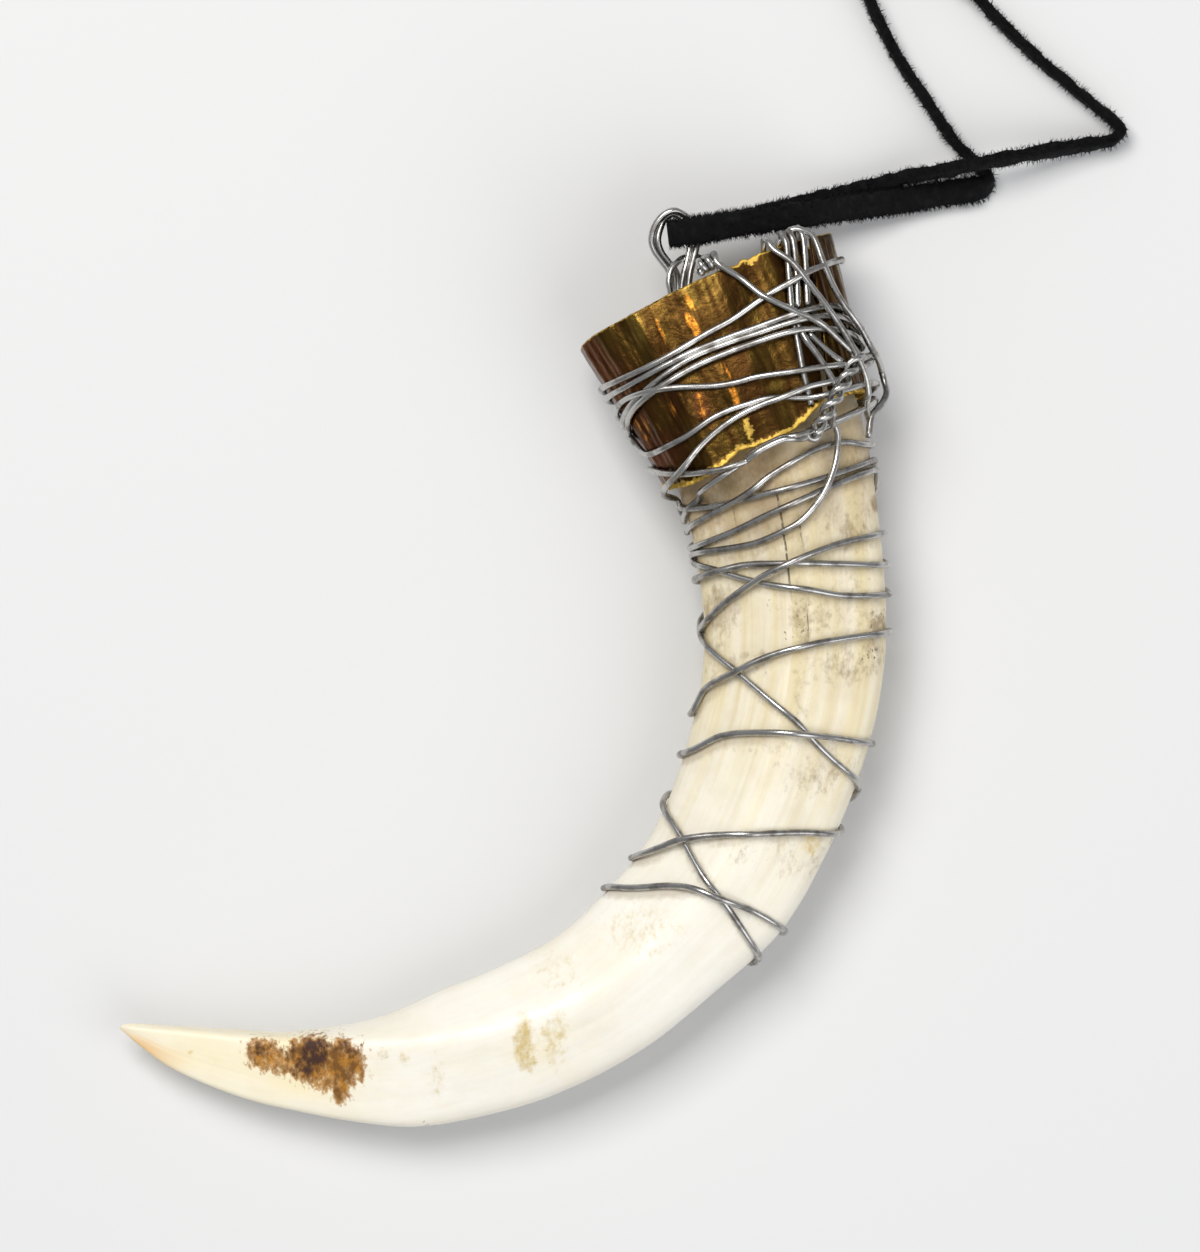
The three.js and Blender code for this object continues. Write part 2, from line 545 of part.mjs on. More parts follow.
// Two wire ends twisted together, as one body with a turning two-lobed section.
function buildTwist() {
  const path = new THREE.CatmullRomCurve3(
    TWIST_AXIS.map(([x, y]) => onBinding(ontoBinding([x, y, TWIST_LIFT]))),
  );
  const steps = TWIST_LOBES * 4;
  const frames = path.computeFrenetFrames(steps, false);
  const lobes = [[1, 0], [0.72, 0.4], [0.3, 0.3], [-0.3, 0.3], [-0.72, 0.4], [-1, 0],
    [-0.72, -0.4], [-0.3, -0.3], [0.3, -0.3], [0.72, -0.4]];
  const rings = frames.tangents.map((_, i) => {
    const centre = path.getPointAt(i / steps);
    const turn = (i / steps) * TWIST_LOBES * Math.PI;
    return lobes.map(([long, short]) => {
      const a = (long * Math.cos(turn) - short * Math.sin(turn)) * WIRE;
      const b = (long * Math.sin(turn) + short * Math.cos(turn)) * WIRE;
      return centre.clone().addScaledVector(frames.normals[i], a).addScaledVector(frames.binormals[i], b);
    });
  });
  return loft(rings);
}

function buildBinding() {
  const slanted = SLANTED_STRANDS.map((strand) => hugging(strand.map(ontoBinding)));
  const turns = [wound(TUSK_TURNS), wound(SLEEVE_TURNS), ...slanted];
  const strands = HOOKED_STRANDS.map(hooked);
  return joined([
    ...turns.flatMap((route) => wire(route, WIRE_STEP)),
    ...strands.flatMap((route) => wire(route, HOOK_STEP)),
    buildTwist(),
  ]);
}

function buildBail() {
  return joined(BAIL_ROUTES.map((route) => {
    const points = route.map((point) => new THREE.Vector3(...point));
    return tube(points, 6, WIRE, 1.3);
  }));
}

// ---- Lace ---------------------------------------------------------------------------------------

// A strand as a flat eight-sided bar that turns as its route says.
function buildStrand(route) {
  const points = route.map(([x, y, z]) => new THREE.Vector3(x, y, z));
  const path = new THREE.CatmullRomCurve3(points, false, 'centripetal');
  const steps = Math.round(path.getLength() / LACE_STEP);
  const section = [[1, 0.4], [0.7, 1], [-0.7, 1], [-1, 0.4], [-1, -0.4], [-0.7, -1], [0.7, -1], [1, -0.4]];
  const up = new THREE.Vector3(0, 0, 1);
  const rings = [];
  for (let i = 0; i <= steps; i += 1) {
    const t = path.getUtoTmapping(i / steps) * (route.length - 1);
    const before = Math.min(Math.floor(t), route.length - 2);
    const turn = radians(lerp(route[before][3], route[before + 1][3], t - before));
    const tangent = path.getTangentAt(i / steps);
    const side = up.clone().cross(tangent).normalize().applyAxisAngle(tangent, turn);
    const over = tangent.clone().cross(side);
    const centre = path.getPointAt(i / steps);
    rings.push(section.map(([a, b]) => centre.clone()
      .addScaledVector(side, a * LACE_WIDTH * 0.5)
      .addScaledVector(over, b * LACE_THICKNESS * 0.5)));
  }
  return loft(rings);
}

// The outer shape of the wound turns: a ring with rounded edges.
function buildCoil() {
  const edge = 0.6;
  const top = COIL_BOTTOM + COIL_HEIGHT;
  const profile = [
    [COIL_INNER, COIL_BOTTOM + edge], [COIL_INNER + edge, COIL_BOTTOM], [COIL_OUTER - edge, COIL_BOTTOM],
    [COIL_OUTER, COIL_BOTTOM + edge], [COIL_OUTER, top - edge], [COIL_OUTER - edge, top],
    [COIL_INNER + edge, top], [COIL_INNER, top - edge], [COIL_INNER, COIL_BOTTOM + edge],
  ].map(([r, z]) => new THREE.Vector2(r, z));
  const geometry = new THREE.LatheGeometry(profile, COIL_SIDES);
  geometry.rotateX(Math.PI / 2);
  return geometry.translate(...COIL_CENTRE, 0);
}

function buildKnot() {
  const geometry = new THREE.SphereGeometry(KNOT_RADIUS, 12, 8);
  geometry.scale(1, 0.85, KNOT_SQUASH);
  const [x, y] = COIL_CENTRE;
  return geometry.translate(x, y - KNOT_PLACE, KNOT_RADIUS * KNOT_SQUASH + 0.1);
}

// A strip of the same suede round the coil.
function buildTie() {
  const inX = [COIL_INNER - GAP, COIL_OUTER + GAP];
  const inZ = [COIL_BOTTOM - GAP, COIL_BOTTOM + COIL_HEIGHT + GAP];
  const box = (grow) => [
    [inX[0] - grow, inZ[0] - grow], [inX[1] + grow, inZ[0] - grow],
    [inX[1] + grow, inZ[1] + grow], [inX[0] - grow, inZ[1] + grow],
  ].map(([r, z]) => new THREE.Vector2(r, z));
  const shape = new THREE.Shape(box(TIE_THICKNESS));
  shape.holes.push(new THREE.Path(box(0)));
  const geometry = new THREE.ExtrudeGeometry(shape, { depth: TIE_WIDTH, bevelEnabled: false });
  geometry.translate(0, 0, -TIE_WIDTH / 2);
  geometry.rotateX(Math.PI / 2);
  geometry.rotateZ(TIE_ANGLE);
  return geometry.translate(...COIL_CENTRE, 0);
}

// ---- Scene --------------------------------------------------------------------------------------

const pendant = new THREE.Group();
pendant.position.set(-PLAN_CENTRE[0], -PLAN_CENTRE[1], 0);

function add(name, geometry, material) {
  const mesh = new THREE.Mesh(geometry, material);
  mesh.name = name;
  pendant.add(mesh);
}

add('tusk', buildTusk(), IVORY);
add('brass_sleeve', buildSleeve(), BRASS);
add('binding_wire', buildBinding(), STEEL);
add('bail', buildBail(), STEEL);
add('lace_near', buildStrand(LACE_NEAR), SUEDE);
add('lace_far', buildStrand(LACE_FAR), SUEDE);
add('lace_coil', buildCoil(), SUEDE);
add('lace_knot', buildKnot(), SUEDE);
add('lace_tie', buildTie(), SUEDE);

export default pendant;
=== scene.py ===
# %% [markdown]
# # A boar-tusk pendant
# The real thing is a tusk whose root sits in a rolled sleeve of brass sheet. Steel wire is wound
# round both, a loop of the same wire sticks out of the sleeve's mouth, and a flat suede lace is
# folded in half through that loop. The pendant lies on its side, and the camera looks down on it.
#
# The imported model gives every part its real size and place. This script makes the fine surfaces
# around it. Routes and outlines are written in millimetres in a plan, seen from above, whose origin
# is a little off the row's own, so that one function turns plan millimetres into scene metres.

import math
import random

import bpy
import numpy
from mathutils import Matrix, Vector, kdtree, noise


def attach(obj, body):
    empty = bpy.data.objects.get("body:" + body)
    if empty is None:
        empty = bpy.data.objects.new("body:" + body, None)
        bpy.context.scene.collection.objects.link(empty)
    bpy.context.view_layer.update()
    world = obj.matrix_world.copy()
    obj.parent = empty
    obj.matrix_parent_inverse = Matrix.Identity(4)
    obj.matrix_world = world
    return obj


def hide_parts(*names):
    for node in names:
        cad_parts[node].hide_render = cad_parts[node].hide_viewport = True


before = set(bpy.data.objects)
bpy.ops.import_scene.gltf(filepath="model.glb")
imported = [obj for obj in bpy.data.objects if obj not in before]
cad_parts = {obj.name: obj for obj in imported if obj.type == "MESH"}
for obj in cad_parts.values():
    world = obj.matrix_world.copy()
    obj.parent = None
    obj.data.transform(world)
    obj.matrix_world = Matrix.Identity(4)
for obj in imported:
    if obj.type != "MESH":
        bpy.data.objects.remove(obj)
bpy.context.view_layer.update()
MM = 0.001
PLAN_CENTRE = (0.0, 0.164)


def place(x, y, z):
    """A point of the plan, in millimetres, as a place in the scene."""
    return Vector(((x - PLAN_CENTRE[0]) * MM, (y - PLAN_CENTRE[1]) * MM, z * MM))


print("nodes:", ", ".join(sorted(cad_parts)))

# %% [markdown]
# ## Camera
# A long lens far above the surface shows the plan almost without perspective, so that what is drawn
# in the plan appears where it was drawn. The lens follows from the height of the view and the
# distance, which is simpler to read than a focal length found by trial.

# %% Camera above the pendant
VIEW_MIDDLE = (11.46, 5.43)
VIEW_HEIGHT = 152.7
VIEW_PLANE = 8.0
CAMERA_DISTANCE = 900.0
SENSOR = 36.0

camera_data = bpy.data.cameras.new("camera")
camera_data.sensor_fit = "VERTICAL"
camera_data.sensor_height = SENSOR
camera_data.lens = SENSOR * CAMERA_DISTANCE / VIEW_HEIGHT
camera = bpy.data.objects.new("camera", camera_data)
camera.location = place(*VIEW_MIDDLE, VIEW_PLANE + CAMERA_DISTANCE)
bpy.context.collection.objects.link(camera)
bpy.context.scene.camera = camera
print(f"lens {camera_data.lens:.0f} mm at {CAMERA_DISTANCE:.0f} mm")

# %% [markdown]
# ## Smooth lines through chosen points
# Everything long here follows a line: the tusk's middle, each turn of wire, the lace. A cubic that
# passes through every chosen point, with the slope of its neighbours, is enough, and it works for
# any number of columns, so that a width or a turn can ride along with a position.


# %% A cubic through rows of numbers
def through(keys, rows, key):
    """The smooth value of every column of rows at a key."""
    last = len(rows) - 1
    i = 0
    while i < last - 1 and keys[i + 1] < key:
        i += 1
    span = keys[i + 1] - keys[i]
    f = (key - keys[i]) / span
    before, after = max(i - 1, 0), min(i + 2, last)
    value = []
    for c in range(len(rows[0])):
        m0 = (rows[i + 1][c] - rows[before][c]) / (keys[i + 1] - keys[before]) * span
        m1 = (rows[after][c] - rows[i][c]) / (keys[after] - keys[i]) * span
        start, end = rows[i][c], rows[i + 1][c]
        value.append(
            (2 * f**3 - 3 * f**2 + 1) * start
            + (f**3 - 2 * f**2 + f) * m0
            + (3 * f**2 - 2 * f**3) * end
            + (f**3 - f**2) * m1
        )
    return value


def running_lengths(points):
    """The distance along a line of points, from its start to each of them."""
    keys = [0.0]
    for a, b in zip(points, points[1:]):
        keys.append(keys[-1] + math.dist(a, b))
    return keys


def evenly(rows, step):
    """Rows about a step apart along the smooth line through rows of x, y, z and more."""
    keys = running_lengths([row[:3] for row in rows])
    count = max(2, round(keys[-1] / step))
    return [through(keys, rows, keys[-1] * i / count) for i in range(count + 1)]


print("lines ready")

# %% [markdown]
# ## Lace
# The lace is one flat strip of black suede, 3 mm wide. Its fold lies in the bail, and both strands
# run to the right, turn on edge where they bend sharply, and leave the view. What the view doesn't
# show is wound into a coil just past its edge, where it can be seen to be a real length.

# %% The routes of the two strands
LACE_WIDTH = 3.0
LACE_THICKNESS = 1.25
# x, y, z in the plan, and how far the strip is turned from lying flat, in degrees.
LACE_NEAR = [
    (19.8, 52.9, 13.8, 0), (23.3, 53.4, 14.6, 0), (28.5, 54.3, 12.8, 0), (33.4, 55.2, 9.6, 0),
    (38.4, 56.1, 6.3, 0), (43.4, 56.9, 4, 0), (48.3, 57.65, 2.2, 0), (53.2, 58.5, 1.4, 0),
    (56.8, 59, 1.4, 5), (58.6, 59.3, 1.7, 50), (59.3, 60.3, 1.8, 90), (58.2, 61.7, 1.8, 90),
    (54.9, 65, 1.8, 90), (51.5, 70, 1.8, 90), (48.2, 75, 1.8, 90), (45.7, 79.8, 1.8, 90),
    (44.3, 83, 1.8, 85), (42.5, 86.6, 1.6, 45), (40, 89.8, 1, 0),
]
LACE_FAR = [
    (19.8, 53.1, 11.7, 0), (23.3, 53.5, 10.8, 0), (26, 54.1, 9.8, 30), (28.5, 55, 8.6, 65),
    (33.4, 56.5, 6, 75), (38.3, 57.8, 3.7, 75), (43.3, 59.05, 2.5, 75), (48.2, 60.25, 2.8, 75),
    (53.1, 61.1, 4.4, 75), (57.9, 62, 5.5, 75), (62.9, 63, 4.7, 75), (67.9, 63.95, 3.1, 75),
    (71.8, 64.6, 2.1, 80), (74.4, 65.1, 1.8, 88), (75.5, 66.2, 1.8, 90), (74.6, 67.4, 1.8, 90),
    (71.4, 70, 1.8, 90), (68.4, 72.5, 1.8, 90), (65.5, 74.9, 1.8, 90), (62.9, 77.4, 1.8, 90),
    (60.4, 79.8, 1.8, 90), (58.1, 82.4, 1.8, 85), (55.6, 85.2, 2, 45), (51.5, 88, 2.2, 0),
]
COIL_CENTRE = (49.0, 112.5)
COIL_INNER = 10.4
COIL_OUTER = 22.0
COIL_BOTTOM = 0.75
KNOT_PLACE = 7.3  # from the coil's middle, towards the pendant
KNOT_HEIGHT = 2.1
COIL_POINTS_A_TURN = 24
COIL_END = 320 - 3 * 360  # degrees, clockwise from where a strand joins the coil
# The easy way from the innermost turn to the knot: degrees, radius, and the share of the rise.
KNOT_APPROACH = ((-52, 11.4, 0.3), (-64, 10.3, 0.6), (-76, 8.9, 0.9))


def coiled(start_angle, layer):
    """A strand's turns, wound clockwise and inwards in one layer of the coil, down to the knot."""
    height = COIL_BOTTOM + LACE_THICKNESS * (0.5 + 1.06 * layer)
    outer = COIL_OUTER - LACE_WIDTH / 2
    inner = COIL_INNER + LACE_WIDTH / 2
    count = round((start_angle - COIL_END) / 360 * COIL_POINTS_A_TURN)
    rows = []
    for i in range(count + 1):
        f = i / count
        angle = math.radians(start_angle + (COIL_END - start_angle) * f)
        radius = outer + (inner - outer) * f
        x = COIL_CENTRE[0] + radius * math.cos(angle)
        y = COIL_CENTRE[1] + radius * math.sin(angle)
        rows.append((x, y, height, 0))
    for degrees, radius, rise in KNOT_APPROACH:
        angle = math.radians(degrees)
        x = COIL_CENTRE[0] + radius * math.cos(angle)
        y = COIL_CENTRE[1] + radius * math.sin(angle)
        rows.append((x, y, height + (KNOT_HEIGHT - height) * rise, 0))
    rows.append((COIL_CENTRE[0] + 0.6, COIL_CENTRE[1] - KNOT_PLACE, KNOT_HEIGHT, 0))
    return rows


near_route = LACE_NEAR + coiled(222, 0)
far_route = LACE_FAR + [(44.4, 91, 2.8, 0)] + coiled(238, 1)
print(len(near_route), "and", len(far_route), "points in the strands' routes")


# %% [markdown]
# A strip can't be a round tube: its flat section has to stay level, and turn only where the route
# says. So each ring of the mesh is set out from the direction of the line, a level sideways vector,
# and the turn. Suede is never even, so noise moves the rings' points a little.


# %% Building meshes from rings
def make_piece(name, points, faces, material=None):
    """A smooth-shaded mesh object riding on the part."""
    mesh = bpy.data.meshes.new(name)
    mesh.from_pydata(points, [], faces)
    mesh.polygons.foreach_set("use_smooth", [True] * len(mesh.polygons))
    mesh.update()
    piece = bpy.data.objects.new(name, mesh)
    bpy.context.collection.objects.link(piece)
    if material is not None:
        mesh.materials.append(material)
    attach(piece, "root")
    return piece


def skin(rings, offset=0):
    """Faces over rings of equally many points, with a fan over each end."""
    size = len(rings[0])
    faces = []
    for i in range(len(rings) - 1):
        for k in range(size):
            a = offset + i * size + k
            b = offset + i * size + (k + 1) % size
            faces.append((a, b, b + size, a + size))
    faces.append(tuple(offset + k for k in reversed(range(size))))
    last = offset + (len(rings) - 1) * size
    faces.append(tuple(last + k for k in range(size)))
    return faces


def joined_piece(name, tubes, material=None):
    """One object of several bodies, each a list of rings."""
    points, faces = [], []
    for rings in tubes:
        faces += skin(rings, len(points))
        points += [point for ring in rings for point in ring]
    return make_piece(name, points, faces, material)


print("mesh helpers ready")

# %% The strip's section and its rings
STRIP_STEP = 0.45
STRIP_ROUNDNESS = 4.5
STRIP_SIDES = 20


def strip_section():
    """A rounded bar, one unit to each side and one up and down."""
    corners = []
    for k in range(STRIP_SIDES):
        angle = 2 * math.pi * (k + 0.5) / STRIP_SIDES
        c, s = math.cos(angle), math.sin(angle)
        radius = (abs(c) ** STRIP_ROUNDNESS + abs(s) ** STRIP_ROUNDNESS) ** (-1 / STRIP_ROUNDNESS)
        corners.append((c * radius, s * radius))
    return corners


def strip_frames(rows):
    """Centre, sideways and upward vectors of a strip along rows of x, y, z and turn."""
    centres = [place(*row[:3]) for row in rows]
    frames = []
    for i, row in enumerate(rows):
        along = (centres[min(i + 1, len(rows) - 1)] - centres[max(i - 1, 0)]).normalized()
        side = Vector((0, 0, 1)).cross(along).normalized()
        over = along.cross(side)
        turn = math.radians(row[3])
        turned_side = side * math.cos(turn) + over * math.sin(turn)
        frames.append((centres[i], turned_side, along.cross(turned_side)))
    return frames


def strip_rings(frames, width, thickness, roughness=0.2):
    """Rings of a strip, uneven by a share of a millimetre."""
    rings = []
    for centre, side, over in frames:
        ring = []
        for a, b in strip_section():
            point = centre + side * (a * width / 2 * MM) + over * (b * thickness / 2 * MM)
            bump = noise.noise(point / (1.6 * MM)) + 0.8 * noise.noise(point / (0.5 * MM))
            ring.append(point + (side * a + over * b) * (bump * roughness * MM))
        rings.append(ring)
    return rings


near_rows = evenly(near_route, STRIP_STEP)
far_rows = evenly(far_route, STRIP_STEP)
near_frames = strip_frames(near_rows)
far_frames = strip_frames(far_rows)
lace_near = joined_piece("lace_near_strand", [strip_rings(near_frames, LACE_WIDTH, LACE_THICKNESS)])
lace_far = joined_piece("lace_far_strand", [strip_rings(far_frames, LACE_WIDTH, LACE_THICKNESS)])
print(len(near_rows), "and", len(far_rows), "rings in the strands")


# %% [markdown]
# The nap of suede is what the eye reads as suede, most of all along the cut edges, where fibres stand
# out against the background. Hair particles would be lost when the model is exported, so each fibre
# is a tiny closed spike of mesh, and all the fibres of a strand are one object.


# %% Suede fibres
FIBRES_A_STEP = 24
FIBRE_LENGTHS = (0.3, 0.95)
FIBRE_WIDTH = 0.14


def fibre(root, tip, width):
    """A three-sided spike from root to tip, as points and faces."""
    along = (tip - root).normalized()
    side = along.orthogonal().normalized()
    other = along.cross(side)
    base = []
    for k in range(3):
        angle = 2 * math.pi * k / 3
        base.append(root + (side * math.cos(angle) + other * math.sin(angle)) * width)
    return base + [tip], [(0, 2, 1), (0, 1, 3), (1, 2, 3), (2, 0, 3)]


def nap(name, frames, width, thickness, seed):
    """Fibres on the edges and the flats of a strip."""
    chance = random.Random(seed)
    points, faces = [], []
    for (centre, side, over), (ahead, _, _) in zip(frames, frames[1:]):
        along = ahead - centre
        for _ in range(FIBRES_A_STEP):
            edge = chance.choice((-1, 1))
            if chance.random() < 0.75:
                a, b = edge, chance.uniform(-0.9, 0.9)
            else:
                a, b = chance.uniform(-0.95, 0.95), chance.choice((-1, 1))
            out = (side * a + over * b * 0.8).normalized()
            root = centre + along * chance.random()
            root += side * (a * width / 2 * 0.94 * MM) + over * (b * thickness / 2 * 0.9 * MM)
            lean = along.normalized() * chance.uniform(-0.8, 0.8) + over * chance.uniform(-0.3, 0.3)
            tip = root + (out + lean).normalized() * (chance.uniform(*FIBRE_LENGTHS) * MM)
            tip.z = max(tip.z, 0.02 * MM)
            spike, sides = fibre(root, tip, FIBRE_WIDTH / 2 * MM)
            faces += [tuple(len(points) + k for k in side_face) for side_face in sides]
            points += spike
    return make_piece(name, points, faces)


near_nap = nap("lace_near_nap", near_frames, LACE_WIDTH, LACE_THICKNESS, seed=3)
far_nap = nap("lace_far_nap", far_frames, LACE_WIDTH, LACE_THICKNESS, seed=4)
print(len(near_nap.data.vertices) // 4 + len(far_nap.data.vertices) // 4, "fibres")

# %% [markdown]
# The lace's two ends are tied in one overhand knot, which closes the necklace, and a narrow strip of
# the same suede holds the coil. A trefoil curve is the plainest true overhand knot: three lobes that
# pass over and under each other, squashed to the height of the lace.

# %% The knot and the tie
TREFOIL_SIZE = 0.86
TREFOIL_HEIGHT = 0.75
TREFOIL_STEPS = 60
TAIL = 4.0


def knot_rows():
    """The trefoil, with both ends of the lace leaving it as short tails."""
    x0, y0 = COIL_CENTRE[0], COIL_CENTRE[1] - KNOT_PLACE
    rows = []
    for i in range(TREFOIL_STEPS + 1):
        t = 2 * math.pi * (0.04 + 0.92 * i / TREFOIL_STEPS)
        x = x0 + TREFOIL_SIZE * (math.sin(t) + 2 * math.sin(2 * t)) * 0.9
        y = y0 + TREFOIL_SIZE * (math.cos(t) - 2 * math.cos(2 * t)) * 0.78
        z = KNOT_HEIGHT - TREFOIL_HEIGHT * math.sin(3 * t)
        rows.append((x, y, z, 0))
    return rows


TIE_RADIUS = (COIL_INNER + COIL_OUTER) / 2
TIE_ANGLE = 0.6
TIE_THICKNESS = 0.4
TIE_WIDTH = 3.0
TIE_CORNER = 6  # exponent of the tie's rounded outline


def tie_rings():
    """A band round the coil's turns."""
    half_wide = (COIL_OUTER - COIL_INNER) / 2 + 0.25
    low, high = 0.3, COIL_BOTTOM + 2 * LACE_THICKNESS + 0.5
    out = Vector((math.cos(TIE_ANGLE), math.sin(TIE_ANGLE), 0))
    along = Vector((-out.y, out.x, 0))
    rings = []
    for i in range(96):
        angle = 2 * math.pi * i / 96
        c, s = math.cos(angle), math.sin(angle)
        reach = (abs(c) ** TIE_CORNER + abs(s) ** TIE_CORNER) ** (-1 / TIE_CORNER)
        r = TIE_RADIUS + c * reach * half_wide
        z = (low + high) / 2 + s * reach * (high - low) / 2
        centre = place(COIL_CENTRE[0] + out.x * r, COIL_CENTRE[1] + out.y * r, z)
        outward = (out * c + Vector((0, 0, 1)) * s).normalized()
        ring = []
        for a, b in strip_section():
            shift = along * (a * TIE_WIDTH / 2) + outward * (b * TIE_THICKNESS / 2)
            ring.append(centre + shift * MM)
        rings.append(ring)
    return rings


def closed_piece(name, rings, material=None):
    """Rings that close on themselves."""
    size, count = len(rings[0]), len(rings)
    points = [point for ring in rings for point in ring]
    faces = []
    for i in range(count):
        for k in range(size):
            a, b = i * size + k, i * size + (k + 1) % size
            c, d = ((i + 1) % count) * size + (k + 1) % size, ((i + 1) % count) * size + k
            faces.append((a, d, c, b))
    return make_piece(name, points, faces, material)


knot_frames = strip_frames(evenly(knot_rows(), 0.35))
lace_knot = joined_piece("lace_overhand_knot", [strip_rings(knot_frames, 1.9, 1.1, 0.03)])
lace_tie = closed_piece("lace_coil_tie", tie_rings())
print("knot and tie made")

# %% [markdown]
# ## The tusk's shape
# A boar's lower tusk has a three-sided section with soft corners. Seen from above, a ridge runs down
# its middle between a bright inner face and an outer face, and near the tip the ridge moves to the
# inside, where grinding against the upper tusk has worn a flat. The outline in the plan is given by
# pairs of points on the inner and the outer edge. Between them, the section is the rounded shape
# enclosed by a few straight faces: raising the power makes its corners sharper.

# %% The tusk's stations and section
# Inner edge x, y; outer edge x, y; height of the middle; thickness; lean of the ridge.
TUSK_STATIONS = [
    (11.6, 46.0, 33.1, 55.6, 10.7, 16.6, 0.12), (13.4, 41.35, 34.9, 50.95, 10.7, 16.6, 0.12),
    (18.0, 29.8, 40.1, 39.4, 10.7, 16.8, 0.12), (21.0, 21.7, 43.4, 30.5, 10.4, 16.8, 0.12),
    (22.7, 15.9, 45.2, 20.1, 10.2, 16.4, 0.08), (24.0, 6.0, 46.3, 5.9, 9.9, 16.0, 0.02),
    (23.7, -1.2, 45.4, -3.9, 9.8, 15.8, 0.0), (22.4, -7.3, 42.9, -13.0, 9.6, 15.4, 0.0),
    (20.2, -14.4, 38.8, -22.7, 9.3, 14.8, 0.0), (17.0, -21.0, 33.5, -31.7, 9.0, 14.2, -0.04),
    (12.4, -26.6, 25.9, -38.7, 8.7, 13.6, 0.0), (6.6, -32.1, 16.7, -46.1, 8.2, 13.0, -0.06),
    (-0.7, -36.0, 6.2, -51.6, 7.6, 12.3, -0.16), (-8.0, -39.0, -3.4, -54.5, 6.9, 11.5, -0.29),
    (-15.4, -42.2, -12.9, -55.7, 6.1, 10.4, -0.58), (-26.3, -44.1, -28.0, -53.3, 5.1, 8.0, -0.85),
    (-33.0, -43.9, -34.8, -51.3, 4.8, 6.3, -0.85), (-39.6, -43.5, -41.3, -48.4, 4.7, 4.3, -0.8),
    (-44.3, -43.2, -45.3, -45.5, 4.8, 2.4, -0.5), (-46.4, -43.2, -46.8, -44.2, 4.9, 1.3, -0.2),
    (-47.1, -43.4, -47.3, -43.8, 4.9, 0.6, 0.0),
]
WIRE_BELOW = 0.724  # the wire under the tusk lifts it by this
ROOT_DEPTH = 2.6
# The degrees that each flat face looks, and its distance in shares of the half width or thickness.
SIDE_FACES = ((0, 1.0), (180, 1.0), (270, 1.0), (315, 1.1), (225, 1.1))
# The two faces that meet at the ridge: degrees, and how they change with the lean.
OUTER_TOP = (56, -24)
INNER_TOP = (128, -40)
RIDGE_HEIGHT = 1.05
CORNER_POWER = 9

middles = [((a + c) / 2, (b + d) / 2) for a, b, c, d, *_ in TUSK_STATIONS]
stations = running_lengths(middles)
stations = [distance - stations[1] for distance in stations]
TIP = stations[-1]


def frame_at(s):
    """Middle, direction across, width, thickness, height and lean at a distance from the rim."""
    ix, iy, ox, oy, height, thickness, lean = through(stations, TUSK_STATIONS, s)
    width = math.hypot(ox - ix, oy - iy)
    across = ((ox - ix) / width, (oy - iy) / width)
    return ((ix + ox) / 2, (iy + oy) / 2), across, width, thickness, height + WIRE_BELOW, lean


def tusk_outline(s, angle):
    """Across and up from the tusk's middle, in millimetres, at an angle from its outer edge."""
    _, _, width, thickness, _, lean = frame_at(s)
    total = 0
    faces = list(SIDE_FACES)
    for facing, change in (OUTER_TOP, INNER_TOP):
        degrees = facing + change * lean
        n = math.radians(degrees)
        faces.append((degrees, math.cos(n) * lean + math.sin(n) * RIDGE_HEIGHT))
    for degrees, distance in faces:
        facing = math.cos(angle - math.radians(degrees)) / distance
        total += max(0, facing) ** CORNER_POWER
    radius = total ** (-1 / CORNER_POWER)
    return math.cos(angle) * radius * width / 2, math.sin(angle) * radius * thickness / 2


def to_scene(s, offset):
    """Across and up at a distance along the tusk, as a place in the scene."""
    middle, across, _, _, height, _ = frame_at(s)
    x = middle[0] + across[0] * offset[0]
    y = middle[1] + across[1] * offset[0]
    return place(x, y, height + offset[1])


print(f"tusk {TIP - ROOT_DEPTH:.0f} mm along its middle")

# %% [markdown]
# The surface carries low relief that no bump map shows at the edge: long shallow flutes that follow
# the growth, and finer unevenness. Each point also keeps its place in a straightened tusk, as an
# attribute, so that the material's grain can follow the curve.

# %% The tusk's surface
TUSK_RINGS = 420
TUSK_COLUMNS = 112
FLUTE_DEPTH = 0.07
ROUGHNESS_DEPTH = 0.03


def tusk_relief(s, angle, offset):
    """How far the surface stands out at a point, in millimetres."""
    around = Vector((math.cos(angle) * 3.2, math.sin(angle) * 3.2, s / 34))
    flutes = noise.noise(around) + 0.5 * noise.noise(around * 2.3 + Vector((7, 0, 0)))
    fine = noise.noise(Vector((offset[0] / 1.1, offset[1] / 1.1, s / 2.4)))
    return flutes * FLUTE_DEPTH + fine * ROUGHNESS_DEPTH


def tusk_mesh():
    """The tusk from its root end to its tip, and its points' places in a straight tusk."""
    rings, straight = [], []
    for i in range(TUSK_RINGS + 1):
        f = i / TUSK_RINGS
        s = ROOT_DEPTH + (TIP - ROOT_DEPTH) * f
        fade = min(1, (1 - f) * 12)
        ring = []
        for k in range(TUSK_COLUMNS):
            angle = 2 * math.pi * k / TUSK_COLUMNS
            a, u = tusk_outline(s, angle)
            grow = 1 + tusk_relief(s, angle, (a, u)) * fade / max(math.hypot(a, u), 0.2)
            ring.append(to_scene(s, (a * grow, u * grow)))
            straight.append((s * MM, a * MM, u * MM))
        rings.append(ring)
    return rings, straight


def keep_straight(piece, straight):
    """Stores each point's place in the straightened part, for the materials' grain."""
    attribute = piece.data.attributes.new("straight", "FLOAT_VECTOR", "POINT")
    attribute.data.foreach_set("vector", [v for row in straight for v in row])


tusk_rings, tusk_straight = tusk_mesh()
tusk = joined_piece("tusk_ivory", [tusk_rings])
keep_straight(tusk, tusk_straight)
print(len(tusk.data.vertices), "points in the tusk")

